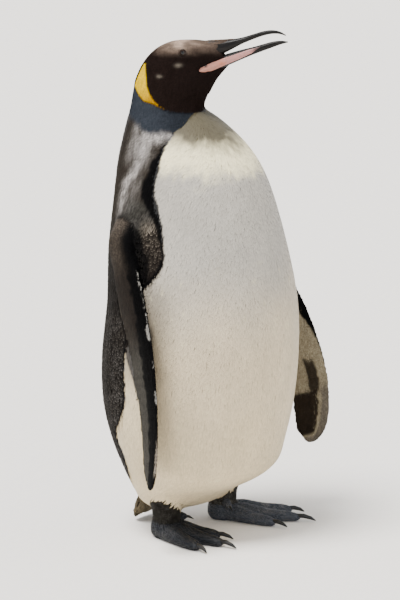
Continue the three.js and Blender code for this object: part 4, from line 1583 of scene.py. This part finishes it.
@dataclass
class Roots:
    """Where feathers grow: place, outward direction, part and kind of plumage, and sizes in millimetres."""

    points: Array
    normals: Array
    parts: Array
    zones: Array = field(init=False)
    spacing: Array = field(init=False)
    length: Array = field(init=False)
    width: Array = field(init=False)
    depth: Array = field(init=False)

    def __post_init__(self) -> None:
        """Finds the kind and the sizes of the feathers, smaller towards the face."""
        local = STANCE.local(self.points)
        _, forward, up = local.T
        angle = MARKINGS.angle(local)
        front = MARKINGS.beyond_border(local) < 0
        back = np.where(BACK.cape(local, angle) > 0.5, KINDS.index(Zone.MANTLE), KINDS.index(Zone.FLANK))
        plain = np.where(front, KINDS.index(Zone.FRONT), back)
        self.zones = plain.copy()
        for part, zone in PART_ZONES.items():
            self.zones[on_parts(self.parts, part)] = KINDS.index(zone)
        as_trunk = on_parts(self.parts, Part.NECK) & (front | (up < MARKINGS.mantle(angle)))
        self.zones[as_trunk] = plain[as_trunk]
        face = on_parts(self.parts, Part.HEAD) * ramp(forward, -75, 5)
        slender = self.of(Zone.FRONT, Zone.MANTLE) * ramp(up, 590, 655)
        join = self.of(Zone.HEAD) * fall(up, 667, 705) - self.of(Zone.NECK) * ramp(up, 640, 676)
        spacing, length, width, depth = np.array([zone.value for zone in KINDS])[self.zones].T
        self.spacing = spacing * (1 - 0.2 * face - 0.06 * slender + 0.08 * join)
        self.length = length * (1 - 0.45 * face - 0.3 * slender + 0.12 * join)
        self.width = width * (1 - 0.3 * face - 0.15 * slender + 0.11 * join)
        self.width = self.width * (1 - 0.35 * front * fall(up, 60, 120))
        self.depth = depth * (1 - 0.5 * face - 0.2 * slender + 0.18 * join)
        tail = on_parts(self.parts, Part.TAIL)
        self.length[tail] = np.clip(1.1 * up[tail] + 3, 8, 36)

    def of(self, *zones: Zone) -> Array:
        """True where the plumage is of one of some kinds."""
        return np.isin(self.zones, [KINDS.index(zone) for zone in zones])

    def chosen(self, which: Array) -> "Roots":
        """Some of the roots."""
        return Roots(self.points[which], self.normals[which], self.parts[which])

    def lie(self) -> Array:
        """Lays the feathers backwards and down.

        Returns:
            One direction for each root.
        """
        side, _, up = STANCE.local(self.points).T
        rows = np.tile([0.0, -0.16, -1.0], (len(up), 1))
        under, head = fall(up, 45, 115), ramp(up, 668, 735)
        sweep = ramp(up, 500, 620) * ramp(np.abs(side), 25, 80)
        rows[:, 0] += 0.15 * np.sign(side) * under
        rows[:, 1] -= 0.45 * sweep + 1.4 * under + 1.6 * head
        rows[:, 2] += 0.25 * head
        world = STANCE.world_direction(rows, up)
        for part, line in FLIPPER_LINES.items():
            on = on_parts(self.parts, part)
            world[on] = line.span() - 0.3 * line.chord_line(line.read(STANCE.bird(self.points[on]))[0])
        world[on_parts(self.parts, Part.FOOT)] = np.array([0.0, -1.0, -0.35])
        return unit(world - (world * self.normals).sum(1)[:, None] * self.normals)


@dataclass
class Coat:
    """All feathers and foot scales of the bird."""

    skin: Skin
    candidates: float = 3.85           # for each root that would fit
    quick_candidates: float = 1.21
    size_jitter: float = 0.12
    turn_jitter: float = 0.10
    tone_jitter: float = 0.05
    patch: float = 0.003
    bill_gap: float = 0.0013
    bill_rise: float = 0.00005
    lowest_root: float = 0.0016
    lowest_vane: float = 0.0001
    lid_edge: float = 1.32
    roots: Roots = field(init=False)
    tree: BVHTree = field(init=False)

    def sow(self) -> None:
        """Chooses the roots: random places on the skin, none nearer than the spacing there."""
        mesh = self.skin.mesh
        mesh.calc_loop_triangles()
        corners = rows_of(mesh.loop_triangles, "vertices", 3, np.int32)
        points, normals = points_of(mesh), normals_of(mesh)
        self.tree = BVHTree.FromPolygons(points.tolist(), corners.tolist())
        a, b, c = (points[corners[:, k]] for k in range(3))
        area = 0.5 * np.linalg.norm(np.cross(b - a, c - a), axis=1)
        part = self.skin.parts[corners[:, 0]]
        whole = Roots(a, normals[corners[:, 0]], part)
        weight = np.where(on_parts(part, Part.CORE), 0, area / (np.maximum(whole.spacing, 1) * MM) ** 2)
        random = np.random.default_rng(SEED)
        count = int(weight.sum() * self.candidates)
        face = random.choice(len(weight), count, p=weight / weight.sum())
        first, second = random.random(count), random.random(count)
        over = first + second > 1
        first[over], second[over] = 1 - first[over], 1 - second[over]
        share = np.stack([1 - first - second, first, second], 1)[:, :, None]
        roots = Roots((points[corners[face]] * share).sum(1), unit((normals[corners[face]] * share).sum(1)), part[face])
        roots = roots.chosen(self.clear_of_bare_parts(roots))
        finder = finder_of(roots.points)
        alive = np.ones(len(roots.points), bool)
        kept = []
        for number, (row, gap) in enumerate(zip(roots.points.tolist(), (roots.spacing * MM).tolist())):
            if alive[number]:
                kept.append(number)
                for _, other, _ in finder.find_range(row, gap):
                    alive[other] = False
        self.roots = roots.chosen(np.array(kept))
        LOG.info("%d roots of %d candidates", len(kept), count)

    def clear_of_bare_parts(self, roots: Roots) -> Array:
        """Finds the roots that may keep their feathers.

        Args:
            roots: All that were drawn.

        Returns:
            True where a feather touches neither an eye nor the bill, nor stands under the floor.
        """
        lie = roots.lie()
        clear = roots.points[:, 2] > self.lowest_root
        for eye in EYES.values():
            for reach in (0.0, 0.9):
                share, out = eye.opening(roots.points + lie * (roots.length * reach * MM)[:, None])
                clear &= (share > self.lid_edge) | (out < 0)
        halves, plates = (BVHTree.FromBMesh(merged_copy(names)[0]) for names in (BILL_NODES[:2], BILL_NODES[2:]))
        for number in np.flatnonzero(on_parts(roots.parts, Part.HEAD) & clear):
            root = Vector(roots.points[number])
            place, normal, _, _ = halves.find_nearest(root, self.bill_gap)
            buried = place is not None and (root - place).dot(normal) < self.bill_rise
            clear[number] = not buried and plates.find_nearest(root, self.bill_gap)[0] is None
        return clear

    def vanes(self, name: str, which: Array, shape: VaneShape, unwrap: "Unwrap", finish: Material) -> None:
        """Makes one coat piece, joined from its feathers.

        Args:
            name: Name of the piece.
            which: True at the roots that it covers.
            shape: Shape of its feathers.
            unwrap: Lays the skin out flat.
            finish: Its material.
        """
        roots = self.roots.chosen(np.flatnonzero(which))
        count, stations = len(roots.points), len(shape.stations)
        random = np.random.default_rng(SEED + len(name))
        size, swing, lifted, tone = (amount * random.normal(size=count).clip(-2, 2) for amount in
                                     (self.size_jitter, self.turn_jitter, shape.lift_jitter, self.tone_jitter))
        lie = roots.lie()
        lie = unit(lie * np.cos(swing)[:, None] + np.cross(roots.normals, lie) * np.sin(swing)[:, None])
        length, half = roots.length * (1 + size) * MM, roots.width * (1 + size) * MM / 2
        depth = roots.depth * MM
        shares = np.array([*shape.stations, 1.0])
        spine = roots.points[:, None] + lie[:, None] * (length[:, None] * shares)[:, :, None]
        found = [self.tree.find_nearest(row)[:2] for row in spine.reshape(-1, 3).tolist()]
        spine, upright = np.array(found).reshape(count, stations + 1, 2, 3).transpose(2, 0, 1, 3)
        along = unit(spine - np.concatenate([roots.points[:, None], spine[:, :-1]], 1))
        sideways = unit(np.cross(upright, along))

        rows = np.zeros((count, 3 * stations + 2, 3))
        normals = np.zeros_like(rows)
        rows[:, 0] = roots.points + roots.normals * (depth * shape.lifts[0])[:, None]
        normals[:, 0] = roots.normals
        heights = (depth * (1 + lifted))[:, None] * np.array(shape.lifts[1:])
        for i in range(stations):
            wide = (half * shape.widths[i])[:, None]
            for k, place in enumerate((-1, 0, 1)):
                rise = heights[:, i, None] + (half[:, None] * 2 * shape.camber if place == 0 else 0)
                rows[:, 1 + 3 * i + k] = spine[:, i] + sideways[:, i] * wide * place + upright[:, i] * rise
                normals[:, 1 + 3 * i + k] = upright[:, i] + sideways[:, i] * (shape.tilt * place)
        rows[:, -1] = spine[:, -1] + upright[:, -1] * heights[:, -1, None]
        normals[:, -1] = upright[:, -1] + along[:, -1] * shape.tilt
        rows[:, :, 2] = np.maximum(rows[:, :, 2], self.lowest_vane)

        facing = np.concatenate([upright[:, :1], np.repeat(upright[:, :-1], 3, 1), upright[:, -1:]], 1)
        base, tip = PAINT.colours(rows.reshape(-1, 3), facing.reshape(-1, 3), np.repeat(roots.parts, rows.shape[1]))
        strength = np.array([0.0, *np.repeat(shape.tints, 3), 1.0])[:, None]
        base, tip = base.reshape(rows.shape), tip.reshape(rows.shape)
        colours = (base * (1 - strength) + tip * strength) * (1 + tone)[:, None, None]
        flat = shape.outline()
        bake = unwrap.places(roots)[:, None] + (flat - 0.5)[None] * self.patch
        maps = {VANE_MAP: np.broadcast_to(flat, bake.shape), BAKE_MAP: bake}
        finish_piece(joined_shapes(name, rows, shape.faces(), normals, colours, maps), [finish])

    def build(self) -> None:
        """Makes every coat piece from the roots."""
        roots = self.roots
        up = STANCE.local(roots.points)[:, 2]
        front, flipper, right = roots.of(Zone.FRONT), roots.of(Zone.FLIPPER), on_parts(roots.parts, Part.FLIPPER_RIGHT)
        satin = FeatherFinish("front_plumage", roughness=0.6, specular=0.3, sheen=0.1, mottle=(0.97, 1.03),
                              barbs=0.1).make()
        slaty = FeatherFinish("back_plumage", roughness=0.55, specular=0.02, mottle=(0.75, 1.25)).make()
        velvet = FeatherFinish("head_plumage", roughness=0.8, specular=0.0, mottle=(0.85, 1.15)).make()
        stiff = FeatherFinish("flipper_plumage", roughness=0.6, specular=0.02, mottle=(0.8, 1.2)).make()
        scaly = FeatherFinish("foot_scale_hide", roughness=0.45, specular=0.35, mottle=(0.7, 1.3), barbs=0.05).make()
        barrel, cap, blade, shanks, sole = (Unwrap(layout) for layout in Layout)
        for name, chosen, shape, unwrap, finish, slot in (
            ("breast_coat", front & (up > 410), FLAT_VANE, barrel, satin, "breast_feathers"),
            ("belly_coat", front & (up <= 410) & (up > 211), FLAT_VANE, barrel, satin, "breast_feathers"),
            ("lower_belly_coat", front & (up <= 211), FLAT_VANE, barrel, satin, "breast_feathers"),
            ("mantle_coat", roots.of(Zone.MANTLE), HAIRY_VANE, barrel, slaty, "back_feathers"),
            ("rump_coat", roots.of(Zone.FLANK), SCALE_VANE, barrel, slaty, "back_feathers"),
            ("neck_coat", roots.of(Zone.NECK), FLAT_VANE, barrel, velvet, "head_feathers"),
            ("head_coat", roots.of(Zone.HEAD), FLAT_VANE, cap, velvet, "head_feathers"),
            ("flipper_coat_right", flipper & right, FLAT_VANE, blade, stiff, "back_feathers"),
            ("flipper_coat_left", flipper & ~right, FLAT_VANE, blade, stiff, "back_feathers"),
            ("leg_coat", roots.of(Zone.LEG), FLAT_VANE, shanks, slaty, "back_feathers"),
            ("tail_coat", roots.of(Zone.TAIL), QUILL, barrel, slaty, "back_feathers"),
            ("foot_scales", roots.of(Zone.FOOT), SCUTE, sole, scaly, "foot_skin"),
        ):
            self.vanes(name, chosen, shape, unwrap, finish)


def joined_shapes(name: str, rows: Array, faces: list[list[int]], normals: Array, colours: Array,
                  maps: dict[str, Array]) -> Piece:
    """One mesh of many small shapes that share their faces' pattern.

    Args:
        name: Name of the piece.
        rows: Places, shape by shape.
        faces: Faces of one shape.
        normals: Shading directions, shape by shape.
        colours: Plume colours, shape by shape.
        maps: UV places by map name, shape by shape.

    Returns:
        The piece.
    """
    count, size = rows.shape[:2]
    pattern = np.concatenate([np.array(face) for face in faces])
    lengths = np.array([len(face) for face in faces])
    corners = (pattern[None] + (np.arange(count) * size)[:, None]).ravel()
    starts = np.concatenate([[0], np.cumsum(np.tile(lengths, count))[:-1]])
    mesh = bpy.data.meshes.new(name)
    mesh.vertices.add(count * size)
    mesh.vertices.foreach_set("co", rows.astype(np.float32).ravel())
    mesh.loops.add(len(corners))
    mesh.loops.foreach_set("vertex_index", corners.astype(np.int32))
    mesh.polygons.add(count * len(faces))
    mesh.polygons.foreach_set("loop_start", starts.astype(np.int32))
    mesh.update(calc_edges=True)
    shaded_smooth(mesh)
    set_colours(mesh, colours.reshape(-1, 3))
    for map_name, places in maps.items():
        layer = mesh.uv_layers.new(name=map_name)
        layer.uv.foreach_set("vector", places.reshape(-1, 2)[corners].astype(np.float32).ravel())
    mesh.normals_split_custom_set_from_vertices(unit(normals.reshape(-1, 3)).tolist())
    return link_piece(name, mesh)


class Layout(Enum):
    """Ways of laying a part's skin out flat."""

    BARREL = "barrel"
    CAP = "cap"
    BLADE = "blade"
    SHANKS = "shanks"
    SOLE = "sole"


@dataclass(frozen=True)
class Unwrap:
    """Lays one part's skin out flat in the unit square."""

    layout: Layout
    margin: float = 0.01
    crown: Span = (-45.0, 730.0)        # middle of the head, forward and up
    pole: Span = (-0.3, 0.954)
    blade_gap: float = 2.3
    shank_gap: float = 6.5
    shank: Span = (70.0, -10.0)         # middle of a leg, to the side and forward

    def places(self, roots: Roots) -> Array:
        """Lays roots out.

        Args:
            roots: The roots.

        Returns:
            Place of each in the square.
        """
        local = STANCE.local(roots.points)
        side, forward, up = local.T
        if self.layout is Layout.BARREL:
            turned = np.arctan2(side, MARKINGS.ahead(local))
            if np.abs(turned).mean() > math.pi / 2:
                turned = np.mod(turned, 2 * math.pi)
            flat = np.stack([turned, up], 1)
        elif self.layout is Layout.CAP:
            away = unit(np.stack([side, forward - self.crown[0], up - self.crown[1]], 1))
            bend = np.arccos(np.clip(away @ np.array([0.0, *self.pole]), -1, 1))
            around = np.arctan2(away[:, 0], away[:, 1] * self.pole[1] - away[:, 2] * self.pole[0])
            flat = np.stack([bend * np.sin(around), bend * np.cos(around)], 1)
        elif self.layout is Layout.BLADE:
            share, across, outward = FLIPPER_LINES[Part(int(roots.parts[0]))].read(STANCE.bird(roots.points))
            under = (roots.normals * outward).sum(1) < 0
            flat = np.stack([across + self.blade_gap * under, share], 1)
        elif self.layout is Layout.SHANKS:
            left = side > 0
            middle = np.where(left, self.shank[0], -self.shank[0])
            turned = np.arctan2(side - middle, forward - self.shank[1])
            flat = np.stack([turned + self.shank_gap * left, up], 1)
        else:
            flat = np.stack([side, forward], 1)
        low, high = flat.min(0), flat.max(0)
        return self.margin + (flat - low) / (high - low) * (1 - 2 * self.margin)


# ---------------------------------------------------------------- bill, eyes and claws

@dataclass
class Bill:
    """The two halves of the bill and the coloured side plates of the lower one."""

    voxel: float = 0.0005
    passes: int = 8
    thinning: float = 0.35
    horn_swell: float = 0.00008
    plate_swell: float = 0.0003
    groove: float = 0.5
    groove_line: Curve = Curve((0, 20, 55, 90), (757, 763, 774, 785))
    groove_along: Window = ((2, 14), (62, 92))
    pink: Array = hue("b07c76")
    salmon: Array = hue("a97362")
    point: Array = hue("2a2021")
    rust: Array = hue("b8602f")
    gape: Array = hue("2a1a17")

    def build(self) -> None:
        """Makes all its pieces."""
        horn = HornFinish("bill_horn", roughness=0.36, specular=0.16).make()
        for node, title, line in (("bill_upper", "upper_mandible", UPPER_LINE),
                                  ("bill_lower", "lower_mandible", LOWER_LINE)):
            mesh = self.smoothed(node, title, line, self.horn_swell)
            if line is UPPER_LINE:
                self.carve_groove(mesh)
            finish_piece(link_piece(title, mesh), [horn], (node,))
        plate = PlateFinish("side_plate", roughness=0.38, specular=0.4, gloss_coat=0.1).make()
        for side in SIDES:
            node, title = f"bill_plate_{side}", f"side_plate_{side}"
            mesh = self.smoothed(node, title, LOWER_LINE, self.plate_swell)
            self.colour_plate(mesh)
            finish_piece(link_piece(title, mesh), [plate], (node,))

    def smoothed(self, node: str, title: str, line: BillLine, swell: float) -> Mesh:
        """A rounded copy of a solid node, bent onto the bill's smooth curves.

        Args:
            node: The solid node.
            title: Name of the new mesh.
            line: Line of this half of the bill.
            swell: How far it is fattened, in metres.

        Returns:
            The mesh.
        """
        mesh = remeshed(merged_copy([node], swell)[0], self.voxel, self.passes, title)
        set_points(mesh, line.bend(points_of(mesh)))
        piece = link_piece(title, mesh)
        modified(piece, "DECIMATE", ratio=self.thinning)
        return applied(piece, title)

    def carve_groove(self, mesh: Mesh) -> None:
        """Presses the long nostril groove into both sides of the upper half.

        Args:
            mesh: The upper half.
        """
        rows = points_of(mesh)
        side, forward, up = STANCE.local(rows).T
        depth = self.groove * window(forward, *self.groove_along) * hump(up, self.groove_line(forward), 1.5)
        depth = depth * ramp(np.abs(side), 1.5, 3.5)
        rows -= normals_of(mesh) * (depth * MM)[:, None]
        set_points(mesh, rows)

    def colour_plate(self, mesh: Mesh) -> None:
        """Pink with a warm rear half, a rusty smear below and a dark point and gape.

        Args:
            mesh: A side plate.
        """
        local = STANCE.local(points_of(mesh))
        _, forward, up = local.T
        cloud = uneven(local, 9, 91, 16)
        colour = mix(self.salmon, self.pink, ramp(forward + cloud, 8, 46))
        colour = mix(colour, self.point, ramp(forward + cloud * 0.3, 66, 78) * 0.9)
        colour = mix(colour, self.rust, 0.5 * hump(forward, 24, 6) * hump(up, 737, 3))
        gape = ramp(1.5 - np.hypot((forward - 0.6) / 2.2, (up - 733.0) / 1.8), 0, 0.7)
        set_colours(mesh, mix(colour, self.gape, 0.95 * gape))


@dataclass
class Eye:
    """An eyeball: dark pupil, brown iris and a clear, bulging front. Angles are from the gaze, in degrees."""

    side: str
    iris: float = 30.0
    pupil: float = 17.0
    segments: int = 48
    bulge: float = 0.35
    bulge_angle: float = 26.0

    def build(self) -> None:
        """Makes the eyeball, its pole along the gaze."""
        place = EYES[self.side]
        form = bmesh.new()
        bmesh.ops.create_uvsphere(form, u_segments=self.segments, v_segments=self.segments, radius=place.radius * MM)
        for vertex in form.verts:
            polar = math.degrees(math.acos(max(-1.0, min(1.0, vertex.co.z / (place.radius * MM)))))
            vertex.co += vertex.co.normalized() * self.bulge * math.exp(-((polar / self.bulge_angle) ** 2)) * MM
        for face in form.faces:
            polar = math.degrees(math.acos(face.calc_center_median().normalized().z))
            face.material_index = 0 if polar < self.pupil else 1 if polar < self.iris else 2
            face.smooth = True
        turn = Vector(place.outward()).to_track_quat("Z", "Y").to_matrix()
        bmesh.ops.rotate(form, verts=form.verts, cent=(0, 0, 0), matrix=turn)
        bmesh.ops.translate(form, verts=form.verts, vec=Vector(place.centre()))
        piece = link_piece(f"eyeball_{self.side}", mesh_of(form, f"eyeball_{self.side}"))
        finishes = [PlainFinish(name, roughness=0.06, specular=0.3, colour=colour).make()
                    for name, colour in (("pupil", "050505"), ("iris", "24150c"), ("eye_rim", "080606"))]
        finish_piece(piece, finishes, (f"eye_{self.side}",))


@dataclass
class Claws:
    """The eight claws, rounded and faintly ridged."""

    voxel: float = 0.00045
    passes: int = 16
    swell: float = 0.0002

    def build(self) -> None:
        """Makes each claw as its own piece."""
        finish = HornFinish("claw_horn", roughness=0.4, specular=0.45, dark="090909", pale="1a1817",
                            streaks=(200.0, 200.0, 200.0)).make()
        for node in CLAW_NODES:
            form, _ = merged_copy([node], self.swell)
            mesh = remeshed(form, self.voxel, self.passes, node.replace("claw", "talon"))
            finish_piece(link_piece(mesh.name, mesh), [finish], (node,))


# ---------------------------------------------------------------- studio

@dataclass
class Studio:
    """Floor, lights and camera."""

    azimuth: float = -55.0
    elevation: float = 13.2
    distance: float = 8.0
    span: float = 0.93
    aim: Triple = (-0.0155513, 0.001375, 0.3668)
    sensor: float = 36.0
    far_end: float = 100.0
    floor_half: float = 20.0
    key_from: Triple = (-0.95, 0.35, 2.6)
    key_power: float = 5.5
    key_breadth: float = 24.0
    key_colour: Triple = (1.0, 0.98, 0.955)
    fill_at: Triple = (-2.8, -2.6, 1.8)
    fill_towards: Triple = (0.0, 0.0, 0.4)
    fill_size: float = 1.6
    fill_power: float = 20.0
    sky_colour: Triple = (0.95, 0.97, 1.0)

    def hang(self, name: str, data: bpy.types.ID, place: Vector, facing: Vector) -> Piece:
        """Hangs a camera or a light.

        Args:
            name: Its name.
            data: Its settings.
            place: Where it hangs.
            facing: Where its rear points.

        Returns:
            The new object.
        """
        thing = link_piece(name, data)
        thing.location = place
        thing.rotation_mode = "QUATERNION"
        thing.rotation_quaternion = facing.to_track_quat("Z", "Y")
        return thing

    def place_camera(self) -> None:
        """Stands the camera far off, so that the view is nearly parallel."""
        across, rise = math.radians(self.azimuth), math.radians(self.elevation)
        back = Vector((math.sin(across) * math.cos(rise), -math.cos(across) * math.cos(rise), math.sin(rise)))
        data = bpy.data.cameras.new("camera")
        data.sensor_width = self.sensor
        data.lens = self.sensor * self.distance / self.span
        data.clip_end = self.far_end
        bpy.context.scene.camera = self.hang("camera", data, Vector(self.aim) + back * self.distance, back)

    def lay_floor(self) -> None:
        """A plain pale floor."""
        form = bmesh.new()
        bmesh.ops.create_grid(form, x_segments=2, y_segments=2, size=self.floor_half)
        floor = link_piece("floor", mesh_of(form, "floor"))
        finish = PlainFinish("pale_floor", roughness=0.85, specular=0.1, colour="faf6f0", depth=0.015, grain_scale=90.0)
        floor.data.materials.append(finish.make())

    def light(self) -> None:
        """A broad soft key from above, a fill from the camera's side and an even pale surround."""
        key = bpy.data.lights.new("key", "SUN")
        key.energy, key.color = self.key_power, self.key_colour
        key.angle = math.radians(self.key_breadth)
        self.hang("key", key, Vector(), Vector(self.key_from))
        fill = bpy.data.lights.new("fill", "AREA")
        fill.energy, fill.color = self.fill_power, self.sky_colour
        fill.size = self.fill_size
        self.hang("fill", fill, Vector(self.fill_at), Vector(self.fill_at) - Vector(self.fill_towards))
        world = bpy.data.worlds.new("surround")
        world.use_nodes = True
        sky = world.node_tree.nodes["Background"].inputs
        sky["Color"].default_value = (*self.sky_colour, 1.0)
        sky["Strength"].default_value = 1.0
        bpy.context.scene.world = world


# ---------------------------------------------------------------- the bird

def main() -> None:
    """Builds the bird in its order and reports each piece."""
    logging.basicConfig(level=logging.INFO, format="%(name)s: %(message)s")
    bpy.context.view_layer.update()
    studio = Studio()
    studio.place_camera()
    skin = Skin()
    skin.build()
    coat = Coat(skin)
    coat.sow()
    coat.build()
    skin.finish()
    Bill().build()
    for side in SIDES:
        Eye(side).build()
    Claws().build()
    studio.lay_floor()
    studio.light()


if __name__ == "__main__":
    main()
